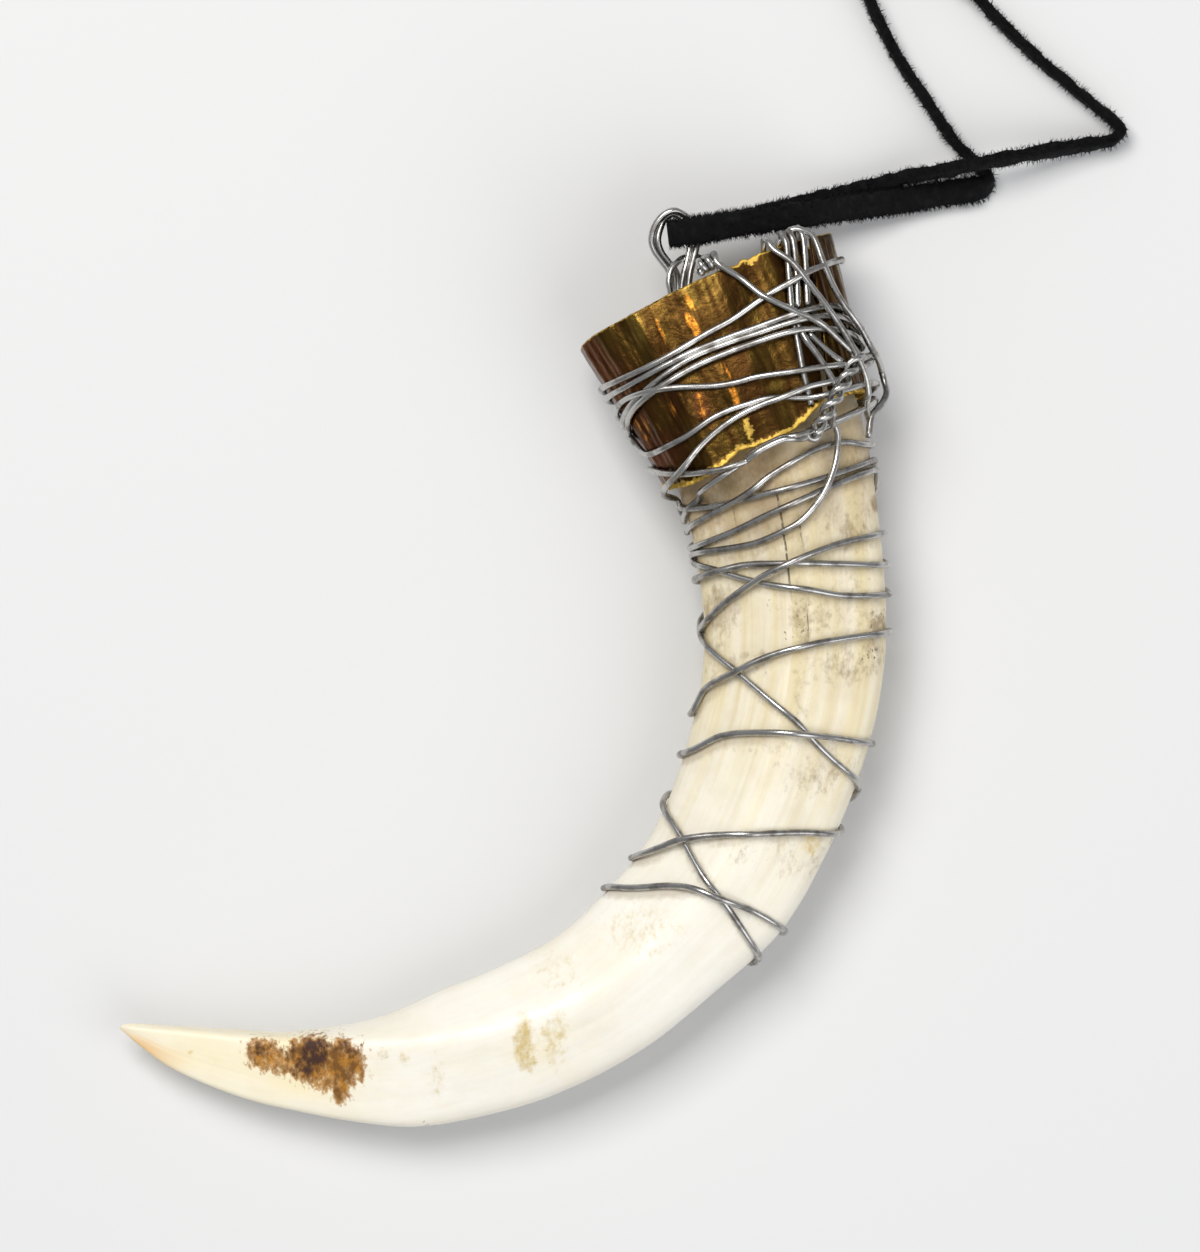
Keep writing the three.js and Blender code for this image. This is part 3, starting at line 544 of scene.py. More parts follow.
# %% [markdown]
# ## The sleeve
# The sleeve is sheet brass, rolled round the root by hand and never soldered. It is wider at the
# rim, its seam stands open, it is creased from the rolling, and its lower edge is torn. It is made as
# a grid round the root end from one side of the seam to the other, once for the outside and once for
# the inside, so that its edge has a real thickness.

# %% The sleeve's outline
SHEET = 0.5
SLEEVE_LENGTH = 18.7
SLEEVE_WIDTH = (33.6, 27.6)
SLEEVE_THICKNESS = (18.8, 20.0)
SLEEVE_SQUARENESS = 2.7
SEAM_ANGLE = (42, 60)
SEAM_WIDTH = (8, 4)
RIM_REACH = ((0, 0), (30, 0.3), (60, 0.9), (90, 1.2), (120, 0.7), (150, 0.3), (180, -0.6),
             (210, 0.1), (250, -0.4), (300, 0.4), (330, -0.2), (360, 0))
HEM_REACH = ((0, 0.4), (25, 0.1), (62, -0.6), (75, 0.8), (86, 1.5), (100, 1.2), (112, 2.2),
             (135, 2.8), (160, 2.2), (180, 1.4), (225, 1.2), (270, -0.6), (315, 0.5), (360, 0.4))
CREASES = ((20, 0.2), (78, 0.35), (104, 0.3), (128, 0.45), (152, 0.25), (205, 0.3), (250, 0.25),
           (290, 0.35), (330, 0.2))
CREASE_SPREAD = 7


def mix(a, b, f):
    return a + (b - a) * f


def sleeve_form(s, angle):
    """The sleeve without creases, as across and up from its middle."""
    f = s / SLEEVE_LENGTH
    power = 2 / SLEEVE_SQUARENESS
    c, u = math.cos(angle), math.sin(angle)
    across = math.copysign(abs(c) ** power, c) * mix(*SLEEVE_WIDTH, f) / 2
    up = math.copysign(abs(u) ** power, u) * mix(*SLEEVE_THICKNESS, f) / 2
    return across, up


def sleeve_outline(s, angle):
    """The creased sleeve."""
    across, up = sleeve_form(s, angle)
    degrees = math.degrees(angle) % 360
    depth = sum(d * math.exp(-(((degrees - at) / CREASE_SPREAD) ** 2)) for at, d in CREASES)
    shrink = 1 - depth / math.hypot(across, up)
    return across * shrink, up * shrink


def moved_out(outline, s, angle, distance):
    """A point of an outline moved out by a distance."""
    d = 0.05
    a0, u0 = outline(s, angle - d)
    a1, u1 = outline(s, angle + d)
    length = math.hypot(a1 - a0, u1 - u0)
    a, u = outline(s, angle)
    return a + (u1 - u0) / length * distance, u - (a1 - a0) / length * distance


print("sleeve", SLEEVE_LENGTH, "mm long")

# %% [markdown]
# The torn edge is the sleeve's brightest detail: burrs of fresh metal along the lower edge, and a
# short tear that runs up from it. Noise makes the edge ragged, a bead thickens it, and the distance
# from the edge is kept as an attribute, so that the brass can be bright there and tarnished elsewhere.

# %% The sleeve's sheet
SLEEVE_COLUMNS = 460
SLEEVE_ROWS = 74
EDGE_RAGGED = 0.22
BEAD = 0.25
BEAD_WIDTH = 0.55
RIM_EDGE = 3.0  # the rim is this many times less worn than the torn edge
RIM_JAGGED = 74  # except round this many degrees, where it is jagged
RIM_JAGGED_SPREAD = 8
TEAR = ((749, 446), (745, 424))  # the two ends of the tear, as the pixels they are seen at
TEAR_NARROWER = 0.3  # how much less of the tear's edge is bright
PIXELS_A_MM = 8.2
PIXEL_ORIGIN = (506, 670)


def from_pixel(px, py):
    """A place seen at a pixel of the view, in plan millimetres."""
    return (px - PIXEL_ORIGIN[0]) / PIXELS_A_MM, (PIXEL_ORIGIN[1] - py) / PIXELS_A_MM


def between(pairs, key):
    """The straight-line value of pairs of key and value at a key."""
    for (k0, v0), (k1, v1) in zip(pairs, pairs[1:]):
        if key <= k1:
            return mix(v0, v1, (key - k0) / (k1 - k0))
    return pairs[-1][1]


def distance_to(point, ends):
    """How far a plan point is from a straight stretch between two ends."""
    (ax, ay), (bx, by) = ends
    dx, dy = bx - ax, by - ay
    f = ((point[0] - ax) * dx + (point[1] - ay) * dy) / (dx * dx + dy * dy)
    f = min(1, max(0, f))
    return math.hypot(point[0] - ax - dx * f, point[1] - ay - dy * f)


def sleeve_mesh():
    """Points, faces, straight places and edge distances of the sheet."""
    tear = [from_pixel(*end) for end in TEAR]
    columns, straight, edges = [], [], []
    for i in range(SLEEVE_COLUMNS + 1):
        outside, inside = [], []
        for j in range(SLEEVE_ROWS + 1):
            f = j / SLEEVE_ROWS
            opening = math.radians(mix(*SEAM_WIDTH, f))
            start = math.radians(mix(*SEAM_ANGLE, f)) + opening / 2
            angle = start + (2 * math.pi - opening) * i / SLEEVE_COLUMNS
            degrees = math.degrees(angle) % 360
            around = Vector((math.cos(angle) * 16, math.sin(angle) * 16, 0))
            ragged = noise.noise(around / 0.9) + 0.5 * noise.noise(around / 0.35)
            jagged = math.exp(-(((degrees - RIM_JAGGED) / RIM_JAGGED_SPREAD) ** 2))
            top = -between(RIM_REACH, degrees) + ragged * EDGE_RAGGED * mix(0.35, 2.6, jagged)
            bottom = SLEEVE_LENGTH + between(HEM_REACH, degrees) + ragged * EDGE_RAGGED
            s = mix(top, bottom, f)
            x, y = (v / MM for v in to_scene(s, sleeve_form(s, angle))[:2])
            torn = distance_to((x + PLAN_CENTRE[0], y + PLAN_CENTRE[1]), tear)
            torn = torn if math.sin(angle) > 0 else 9
            hem = min(bottom - s, torn + TEAR_NARROWER)
            edge = min(hem, (s - top) * mix(RIM_EDGE, 1, jagged) + 0.3 * (1 - jagged))
            bead = BEAD * math.exp(-((hem / BEAD_WIDTH) ** 2)) * (0.6 + ragged * 0.5)
            spot = Vector((math.cos(angle) * 5, math.sin(angle) * 5, s / 5))
            folds = Vector((math.cos(angle) * 13, math.sin(angle) * 13, s / 40))
            hammered = 0.16 * noise.noise(spot) + 0.05 * noise.noise(spot * 4)
            hammered += 0.16 * noise.noise(folds)
            wavy = hammered * min(1, s / 2 + 0.3)
            outside.append(to_scene(s, moved_out(sleeve_outline, s, angle, bead + wavy)))
            inside.append(to_scene(s, moved_out(sleeve_outline, s, angle, min(0, wavy) - SHEET)))
            straight.append((s * MM, *(v * MM for v in sleeve_form(s, angle))))
            edges.append(edge * MM)
        columns.append(outside + inside[::-1])
    return columns, straight, edges


sleeve_columns, sleeve_straight, sleeve_edges = sleeve_mesh()
rows = SLEEVE_ROWS + 1
sleeve = joined_piece("brass_sheet_sleeve", [[list(reversed(ring)) for ring in sleeve_columns]])
straight, edges = [], []
for i in range(SLEEVE_COLUMNS + 1):
    column = list(range(i * rows, (i + 1) * rows))
    for index in column + column[::-1]:
        straight.append(sleeve_straight[index])
        edges.append(sleeve_edges[index])
keep_straight(sleeve, straight)
edge_attribute = sleeve.data.attributes.new("edge", "FLOAT", "POINT")
edge_attribute.data.foreach_set("value", edges)
print(len(sleeve.data.vertices), "points in the sleeve")

# %% [markdown]
# ## Binding wire
# The wire is one long run of hand-wound turns, none of them regular, so each turn is drawn: where it
# crosses the upper face, and how many wires lie under it. Every drawn point is turned into a distance
# along the tusk and an angle round it, and the wire then follows the sleeve and the tusk at its own
# thickness. The way under the pendant joins the end of each turn to the start of the next.

# %% The wire's turns
WIRE = 0.8
WIRE_GAP = 0.1
TUSK_TURNS = [
    ((39.6, 31.2, 2), (39.9, 29.3, 1.7), (40.1, 27.2, 1.3), (39.8, 24.9, 1.1), (39, 22.6, 1.1),
     (37.4, 20, 0.5), (34.6, 17.4), (30, 15.4), (22.7, 14.1)),
    ((47, 12.9), (40, 12.9), (34.6, 13), (29, 12.8, 0.3), (25.5, 12, 1), (23.4, 11.3, 0.3)),
    ((47.1, 9.4), (41, 9.1), (35, 10), (29, 11.1), (22.7, 13.2)),
    ((46.6, 16.8), (41.5, 15.7), (37, 14.2, 0.5), (33, 12.4, 1.1), (30.6, 11.1, 1), (27, 8.6, 0.1),
     (23.3, 4.9)),
    ((47, 4.8), (39.5, 3.7), (34, 2.5), (28.3, 0.2, 1.1), (24.2, -2.2), (22.6, -5.1)),
    ((44.8, -8.9), (40, -8.1, 0.3), (36.5, -7.7, 1.1), (32, -7.4, 0.1), (26.1, -7.9), (21.6, -10)),
    ((40.7, -19.6), (33, -19.6), (26.1, -19.8, 0.2), (21.2, -20.4, 1.1), (15.4, -22.7)),
    ((33.8, -31.5), (30, -29.1), (26.3, -27.6, 1.1), (20, -26), (11.6, -26.1)),
    ((30.6, -35.4), (26.3, -27.8), (22.4, -22.2), (18.9, -15.9)),
    ((42.9, -14), (37.7, -8.9), (32.2, -3.7), (26.3, 1.3), (23.3, 4.6)),
    ((45.2, 24.1), (38.7, 22), (32.2, 19.1), (26.5, 16.4), (22.4, 14.8)),
    ((45.1, 25.6), (38.5, 23.3), (32, 21.5), (25, 19.9), (21.2, 19.8)),
    ((44.1, 27.4, 0.2), (40.7, 27.6), (37, 26.5), (32.2, 23.7, 0.2), (29.5, 21.6, 1.1), (25, 19),
     (21.5, 16.7)),
]
SLEEVE_TURNS = [
    ((41.1, 49.9), (37.3, 48.4, 1.1), (35.3, 47.3, 1.1), (31, 44.8), (23.7, 40.2), (17.6, 36.8),
     (11.5, 34)),
    ((43.9, 42.7), (39.8, 44, 0.1), (35.8, 43.2, 1.1), (31, 41.6), (22.4, 38.3), (15.1, 34.5),
     (12.1, 32.9)),
    ((43.7, 41.2), (39.8, 42.8, 0.4), (36, 42.3, 1.1), (31, 40.8), (22.4, 37.6), (16.3, 33.2),
     (13.4, 29.3)),
    ((43.9, 39.6), (39, 41.2, 0.4), (35.5, 41, 1.1), (31, 39.8, 0.5), (23.5, 36.9, 0.3),
     (18.8, 34.2, 1), (15, 30.7), (13.9, 28)),
    ((42, 37.2, 1.2), (37.8, 36.5, 1.1), (34, 35.9, 0.6), (26.1, 34.4), (18.8, 33.9, 1),
     (14.6, 32.8), (12.8, 30.7)),
    ((40.4, 35.2, 1.2), (36.6, 34.2, 1), (33.4, 32.9, 1), (28.5, 30.9, 0.2), (23.7, 27.2),
     (21.1, 24, 1.1), (19.7, 20.5), (20.2, 18.5)),
    ((39.3, 33.4, 1.2), (36.6, 32.9, 0.3), (30.5, 32.5), (25.5, 30.7), (21.2, 27.9), (17, 26.2),
     (14, 28)),
    ((36.6, 28.2, 1), (32.9, 27.6, 1), (28.5, 25, 0.8), (22.4, 23.8), (16.5, 24)),
    ((36.2, 28.6, 1), (32.7, 27.8, 0.2), (27.9, 24.6), (23, 20.4), (20.5, 17.8)),
]
# The first point is where a strand goes in, and the second is where it has come over the rim.
HOOKED_STRANDS = [
    ((25.6, 49.0), (25.6, 49.0), (28.5, 47.1, 0.1), (31.2, 45, 1.1), (35.6, 42.9, 1.2), (37.7, 42, 1.7),
     (40.1, 40, 1.2), (42, 38.2, 1.3)),
    ((31.3, 50.9), (32.2, 50.7), (34.6, 49.1, 1), (36.9, 46.2, 1.6), (39.3, 43, 1.9), (41.5, 39.7, 1.8),
     (42.6, 37.6, 2), (43.6, 35, 1.6), (43.8, 33.2, 1.1), (44.2, 30.2, 0.5)),
    ((33.2, 50.9), (37.3, 51.2, 0.4), (38.3, 49.4, 1), (39.6, 46.3, 1.2), (41, 43.9, 1.3),
     (43, 41.3, 1.4), (44.3, 39.1, 1.6), (45.8, 36.7, 2), (46.4, 34.3, 2.2), (45.7, 32.4, 2.1),
     (44.4, 30.9, 1.2), (44, 28.2, 0.2)),
    ((34, 50.8), (34, 50.8), (34.5, 43.4), (35.2, 39.8), (35.8, 36.4), (36.8, 32)),
    ((35, 50.6), (35, 50.6), (35.1, 47.4), (35.3, 43.6)),
    ((36.4, 50.2), (36.4, 50.2), (36.3, 47), (36.4, 43.9)),
]
SLANTED_STRANDS = [
    ((34.9, 42.4), (36.2, 39.9, 1), (37.7, 37.8, 1), (39.2, 35.4, 1.2), (39.8, 34.2, 1.2)),
    ((36.5, 40.7, 0.2), (38.6, 38.7, 0.6), (40.5, 37.2, 1.2)),
]
print(len(TUSK_TURNS) + len(SLEEVE_TURNS), "turns drawn")


# %% Laying a drawn point on the part
BLEND_START = 0.5  # past the sleeve's lower edge, the wire comes down to the tusk
BLEND_LENGTH = 2.4


def binding_outline(s, angle):
    """What the wire lies on: the sleeve, and the tusk below it."""
    hem = SLEEVE_LENGTH + between(HEM_REACH, math.degrees(angle) % 360)
    f = min(1, max(0, (s - hem - BLEND_START) / BLEND_LENGTH))
    f = f * f * (3 - 2 * f)
    if f == 0:
        return sleeve_form(s, angle)
    if f == 1:
        return tusk_outline(s, angle)
    (a0, u0), (a1, u1) = sleeve_form(s, angle), tusk_outline(s, angle)
    return mix(a0, a1, f), mix(u0, u1, f)


def wire_height(lift):
    return WIRE / 2 + WIRE_GAP + lift * WIRE


def past(point, s):
    """Positive on one side of the section line at a distance s, negative on the other."""
    middle, across = frame_at(s)[:2]
    return (point[0] - middle[0]) * across[1] - (point[1] - middle[1]) * across[0]


def onto_binding(point):
    """A drawn point as distance along, angle round and lift."""
    lift = point[2] if len(point) > 2 else 0
    best, reach = None, None
    s = stations[0]
    while s < TIP - 1:
        if past(point, s) * past(point, s + 1) <= 0:
            away = math.dist(frame_at(s)[0], point[:2])
            if reach is None or away < reach:
                best, reach = s, away
        s += 1
    low, high = best, best + 1
    for _ in range(18):
        half = (low + high) / 2
        if past(point, low) * past(point, half) > 0:
            low = half
        else:
            high = half
    middle, across = frame_at(low)[:2]
    aside = (point[0] - middle[0]) * across[0] + (point[1] - middle[1]) * across[1]
    right, left = 0.0, math.pi
    for _ in range(18):
        half = (right + left) / 2
        if moved_out(binding_outline, low, half, wire_height(lift))[0] > aside:
            right = half
        else:
            left = half
    return low, right, lift


def on_binding(row):
    s, angle, lift = row
    return to_scene(s, moved_out(binding_outline, s, angle, wire_height(lift)))


print("first turn starts at", [round(v, 2) for v in onto_binding(TUSK_TURNS[0][0])])

# %% Whole runs of wire
WIRE_HUG = 0.6
UNDER_POINTS = 3
HOOK_DEPTH = 2
HOOK_REACH = 1.5
HOOK_POINTS = 3


def hugging(route):
    """Points in the scene along a route of distance, angle and lift."""
    knots = [on_binding(row) for row in route]
    keys = running_lengths(knots)
    count = math.ceil(keys[-1] / (WIRE_HUG * MM))
    return [on_binding(through(keys, route, keys[-1] * i / count)) for i in range(count + 1)]


def under(end, start):
    """The way under the pendant from the end of a turn to the start of the next."""
    rows = []
    for i in range(1, UNDER_POINTS + 1):
        f = i / (UNDER_POINTS + 1)
        rows.append((mix(end[0], start[0], f), math.pi * (1 + f), mix(end[2], start[2], f) * 0.3))
    return rows


def wound(turns):
    """All turns as one run of wire."""
    routes = [[onto_binding(point) for point in turn] for turn in turns]
    run = []
    for i, route in enumerate(routes):
        rows = route + (under(route[-1], routes[i + 1][0]) if i + 1 < len(routes) else [])
        run += [(s, angle + 2 * math.pi * i, lift) for s, angle, lift in rows]
    return hugging(run)


def hooked(strand):
    """A strand that comes up inside the sleeve at one place and over its rim at another."""
    route = [onto_binding(point) for point in strand]
    entry = route[0][1]
    s, angle, lift = route[1]
    inside = -(SHEET + 2 * WIRE_GAP + WIRE) / WIRE
    rims = [min(-between(RIM_REACH, math.degrees(a)), s) for a in (entry, angle)]
    over = [(rims[0] + HOOK_DEPTH, entry, inside - 0.3), (rims[0], entry, inside - 0.2)]
    for i in range(1, HOOK_POINTS + 1):
        f = i / (HOOK_POINTS + 1)
        reach = HOOK_REACH * math.sin(math.pi * f)
        over.append((mix(*rims, f) - reach, mix(entry, angle, f), mix(inside, lift + 0.2, f)))
    over.append((rims[1], angle, lift + 0.2))
    return hugging(over + route[2:])


tusk_run = wound(TUSK_TURNS)
sleeve_run = wound(SLEEVE_TURNS)
strand_runs = [hooked(strand) for strand in HOOKED_STRANDS]
strand_runs += [hugging([onto_binding(point) for point in strand]) for strand in SLANTED_STRANDS]
for name, run in (("tusk", tusk_run), ("sleeve", sleeve_run)):
    print(f"{name} winding {running_lengths(run)[-1] / MM:.0f} mm of wire")


# %% [markdown]
# Wire bent by hand keeps small kinks. Each run is therefore moved a little by slow noise before it
# becomes a tube. The tube's rings are carried along the line without turning, so that the faces
# don't twist, and their ends are cut flat, as cutters leave them.

# %% Tubes of wire
WIRE_SIDES = 14
KINK = 0.05


def kinked(points, seed):
    """A run moved a little off its line."""
    moved = []
    for point in points:
        spot = point / (5.5 * MM) + Vector((seed * 3.7, 0, 0))
        moved.append(point + noise.noise_vector(spot) * (KINK * MM))
    return moved


def tube_rings(points, radius, sides=WIRE_SIDES):
    """Rings round a line of points."""
    rings = []
    along = (points[1] - points[0]).normalized()
    side = along.orthogonal().normalized()
    for i, point in enumerate(points):
        ahead = points[min(i + 1, len(points) - 1)] - points[max(i - 1, 0)]
        along = ahead.normalized()
        side = (side - along * side.dot(along)).normalized()
        other = along.cross(side)
        ring = []
        for k in range(sides):
            angle = 2 * math.pi * k / sides
            ring.append(point + (side * math.cos(angle) + other * math.sin(angle)) * radius)
        rings.append(ring)
    return rings


wire_radius = WIRE / 2 * MM
windings = [tube_rings(kinked(run, i), wire_radius) for i, run in enumerate((tusk_run, sleeve_run))]
tusk_winding = joined_piece("wire_round_tusk", windings[:1])
sleeve_winding = joined_piece("wire_round_sleeve", windings[1:])
strands = joined_piece(
    "wire_hooked_strands",
    [tube_rings(kinked(run, i + 5), wire_radius) for i, run in enumerate(strand_runs)],
)
print(len(tusk_winding.data.polygons) + len(sleeve_winding.data.polygons), "faces of wire")

# %% [markdown]
# The maker closed the binding by twisting two ends together. Two helices round one line, half a turn
# apart, are exactly what twisted wire is, and they catch the light like a small rope.

# %% The twisted ends and the bail
TWIST_AXIS = ((42.6, 38.2), (41.1, 35.3), (39.9, 33.2), (38.6, 31), (37.3, 28.8))
TWIST_LIFT = 2.0
TWIST_LOBES = 5.4
TWIST_RADIUS = 0.56
TWIST_STEPS = 110
# Two loops side by side, their legs down in the sleeve's mouth.
BAIL_ROUTES = [
    [(22.2, 44.9, 13), (22.2, 46.4, 13), (22.4, 48.2, 13), (22.8, 49.9, 13), (23.2, 51.6, 12.9),
     (23.2, 53.1, 12.8), (22.7, 54.4, 12.7), (21.7, 55.3, 12.9), (20.4, 55.8, 13.4), (19.1, 55.2, 13.4),
     (18.1, 53.9, 13.2), (17.7, 52.3, 13), (18.1, 50.9, 13), (19, 49.6, 13), (19.9, 48.3, 13),
     (20.1, 46.8, 13), (20.1, 45.4, 13)],
    [(21.4, 45.1, 12.9), (21.4, 46.5, 12.9), (21.6, 48, 12.9), (22, 49.6, 12.8), (22.3, 51.1, 12.7),
     (22.4, 52.5, 12.6), (22.1, 53.9, 12.5), (21.4, 54.9, 12.4), (20.3, 55.4, 12.4), (19.4, 54.9, 12.5),
     (18.8, 53.7, 12.7), (18.5, 52.2, 12.8), (18.9, 50.8, 12.6), (19.8, 49.6, 12.4), (20.7, 48.4, 12.2),
     (20.9, 47, 12.1), (20.9, 45.6, 12.1)],
]
# One turn round the bail's legs, up to the sleeve's rim.
NECK_WRAP = [
    (20.1, 45.4, 14.3), (19.8, 47.2, 14.4), (20.1, 48.6, 14.2), (20.9, 49.6, 13.7), (21.9, 50.2, 12.2),
    (23.2, 50.3, 11.4), (24.2, 49.7, 12.5), (24.3, 49.3, 15), (23.6, 48.9, 18),
]
KNOB_AXIS = ((23.3, 48.5, 20.6), (24.0, 48.9, 20.8), (24.9, 49.3, 20.6))
KNOB_RADIUS = 0.72
KNOB_TURNS = 2.6
CURL_CENTRE = (37.1, 28.6)
CURL_RADIUS = 0.75


def helix(axis, phase, turns, radius, steps=TWIST_STEPS):
    """A line that winds round an axis of places in the scene."""
    keys = running_lengths(axis)
    up = Vector((0, 0, 1))
    points = []
    for i in range(steps + 1):
        f = i / steps
        centre = Vector(through(keys, axis, keys[-1] * f))
        ahead = Vector(through(keys, axis, keys[-1] * min(1, f + 0.02)))
        behind = Vector(through(keys, axis, keys[-1] * max(0, f - 0.02)))
        side = up.cross((ahead - behind).normalized()).normalized()
        over = (ahead - behind).normalized().cross(side)
        turn = f * turns * 2 * math.pi + phase
        points.append(centre + (side * math.cos(turn) + over * math.sin(turn)) * (radius * MM))
    return points


twist_axis = [on_binding(onto_binding((x, y, TWIST_LIFT))) for x, y in TWIST_AXIS]
pair = [helix(twist_axis, phase, TWIST_LOBES / 2, TWIST_RADIUS) for phase in (0, math.pi)]
curl_height = pair[0][-1].z / MM
for i in range(1, 15):
    angle = 2.3 + i * 0.42
    x = CURL_CENTRE[0] + CURL_RADIUS * math.cos(angle)
    y = CURL_CENTRE[1] + CURL_RADIUS * math.sin(angle)
    pair[0].append(place(x, y, curl_height - 0.06 * i))
twist = joined_piece("wire_twisted_ends", [tube_rings(line, wire_radius) for line in pair])

bail_lines = [[place(*row) for row in evenly(route, 0.35)] for route in BAIL_ROUTES]
bail = joined_piece("wire_bail_loops", [tube_rings(line, wire_radius, 12) for line in bail_lines])
knob_line = [place(*row) for row in evenly(NECK_WRAP, 0.35)]
knob_axis = [place(*row) for row in KNOB_AXIS]
knob_line += helix(knob_axis, 2.2, KNOB_TURNS, KNOB_RADIUS, 60)
neck = joined_piece("wire_neck_wrap", [tube_rings(knob_line, wire_radius, 12)])
print("twist, bail and neck made")

# %% [markdown]
# ## Materials
# Real surfaces are never one colour, so every material mixes a few colours by masks that vary over
# the surface. One effect is wanted in all of them and is built once as a node group: grain, which is
# stretched noise turned into a mask. The group puts out masks only. The shaders themselves stay in
# the materials.


# %% Helpers for shader nodes
def add(tree, kind, inputs=None, **settings):
    """A node with settings, whose inputs are values or other nodes' sockets."""
    made = tree.nodes.new(kind)
    for name, value in settings.items():
        setattr(made, name, value)
    for name, value in (inputs or {}).items():
        if isinstance(value, bpy.types.NodeSocket):
            tree.links.new(value, made.inputs[name])
        else:
            made.inputs[name].default_value = value
    return made


def calculate(tree, operation, *values):
    """A Math node's result."""
    inputs = dict(enumerate(values))
    return add(tree, "ShaderNodeMath", inputs, operation=operation).outputs[0]


def blend_colour(tree, factor, first, second):
    """The second colour over the first, by a factor."""
    inputs = {0: factor, 6: first, 7: second}
    return add(tree, "ShaderNodeMix", inputs, data_type="RGBA").outputs[2]


def smooth_range(tree, value, low, high, start=0.0, end=1.0):
    """A value turned into a mask that rises smoothly from low to high."""
    inputs = {"Value": value, "From Min": low, "From Max": high, "To Min": start, "To Max": end}
    made = add(tree, "ShaderNodeMapRange", inputs, interpolation_type="SMOOTHSTEP")
    return made.outputs["Result"]


def new_group(name, inputs, outputs):
    """A node group with named sockets, and its input and output nodes."""
    group = bpy.data.node_groups.new(name, "ShaderNodeTree")
    for label, kind, default in inputs:
        made = group.interface.new_socket(name=label, in_out="INPUT", socket_type=kind)
        made.default_value = default
    for label, kind in outputs:
        group.interface.new_socket(name=label, in_out="OUTPUT", socket_type=kind)
    return group, group.nodes.new("NodeGroupInput"), group.nodes.new("NodeGroupOutput")


print("shader helpers ready")

# %% The grain group
FLOAT, VECTOR = "NodeSocketFloat", "NodeSocketVector"


def grain_group():
    """Noise stretched along the part, as a mask from Low to High."""
    inputs = (("Vector", VECTOR, (0, 0, 0)), ("Stretch", VECTOR, (1, 1, 1)), ("Scale", FLOAT, 500),
              ("Detail", FLOAT, 4), ("Low", FLOAT, 0.35), ("High", FLOAT, 0.65))
    group, given, result = new_group("Grain", inputs, (("Mask", FLOAT), ("Height", FLOAT)))
    sockets = given.outputs
    scaled = add(group, "ShaderNodeVectorMath", {0: sockets["Vector"], 1: sockets["Stretch"]},
                 operation="MULTIPLY")
    cloud = add(group, "ShaderNodeTexNoise", {"Vector": scaled.outputs[0], "Scale": sockets["Scale"],
                                              "Detail": sockets["Detail"], "Roughness": 0.62})
    mask = smooth_range(group, cloud.outputs["Fac"], sockets["Low"], sockets["High"])
    group.links.new(mask, result.inputs["Mask"])
    group.links.new(cloud.outputs["Fac"], result.inputs["Height"])
    return group


GRAIN = grain_group()


def grain(tree, vector, scale, stretch=(1, 1, 1), low=0.35, high=0.65, detail=4):
    """The grain group's outputs, placed in a tree."""
    inputs = {"Vector": vector, "Stretch": stretch, "Scale": scale, "Low": low, "High": high,
              "Detail": detail}
    return add(tree, "ShaderNodeGroup", inputs, node_tree=GRAIN).outputs


def new_material(name):
    """An empty material, with its tree, shader and the surface's straight and scene places."""
    material = bpy.data.materials.new(name)
    material.use_nodes = True
    tree = material.node_tree
    shader = tree.nodes["Principled BSDF"]
    straight = add(tree, "ShaderNodeAttribute", attribute_name="straight").outputs["Vector"]
    scene_place = add(tree, "ShaderNodeTexCoord").outputs["Object"]
    return material, tree, shader, straight, scene_place


def kept(tree, name):
    """A number kept on the mesh."""
    return add(tree, "ShaderNodeAttribute", attribute_name=name).outputs["Fac"]


def mottled(tree, name, cloud, ragged, full=0.5):
    """A kept field, broken up by a noise, as a mask that is 1 where the field reaches full."""
    field = calculate(tree, "MULTIPLY_ADD", calculate(tree, "SUBTRACT", cloud, 0.5), ragged,
                      kept(tree, name))
    return smooth_range(tree, field, 0.0, full)


print("group:", GRAIN.name)

# %% [markdown]
# ### Marks kept on the mesh
# Stains, dirt, shade painted into the ivory, and highlights and reflections painted onto the brass lie
# at chosen places. Each mark is a soft ellipse, written as the pixel where it is seen, its half width,
# half height and strength. The marks of one kind become one number a point on the mesh, worked out
# once. The materials then break its edge up with noise, so that no mark shows its ellipse. Just below
# each wire the ivory is darker, dirt and painted shadow together, so the distance to the nearest wire
# is kept in the same way.

# %% Fields of marks
SOFT_SHARE = 0.5  # the share of a mark's radius over which it fades


def keep_number(piece, name, values):
    attribute = piece.data.attributes.new(name, "FLOAT", "POINT")
    attribute.data.foreach_set("value", values)


def keep_field(piece, name, places, spots):
    """Stores the strongest mark at each place: its strength inside, less than 0 outside."""
    across, down = places
    total = numpy.full(len(across), -1.0)
    for x, y, wide, tall, strength in spots:
        inside = 1 - numpy.hypot((across - x) / wide, (down - y) / tall)
        field = numpy.where(inside > 0, strength * numpy.minimum(inside / SOFT_SHARE, 1), inside)
        total = numpy.maximum(total, field)
    keep_number(piece, name, total)


def seen_places(piece):
    """The pixels at which the points of a piece's upper side are seen."""
    flat = numpy.empty(len(piece.data.vertices) * 3)
    piece.data.vertices.foreach_get("co", flat)
    x, y, _ = flat.reshape(-1, 3).T / MM
    across = PIXEL_ORIGIN[0] + (x + PLAN_CENTRE[0]) * PIXELS_A_MM
    return across, PIXEL_ORIGIN[1] - (y + PLAN_CENTRE[1]) * PIXELS_A_MM


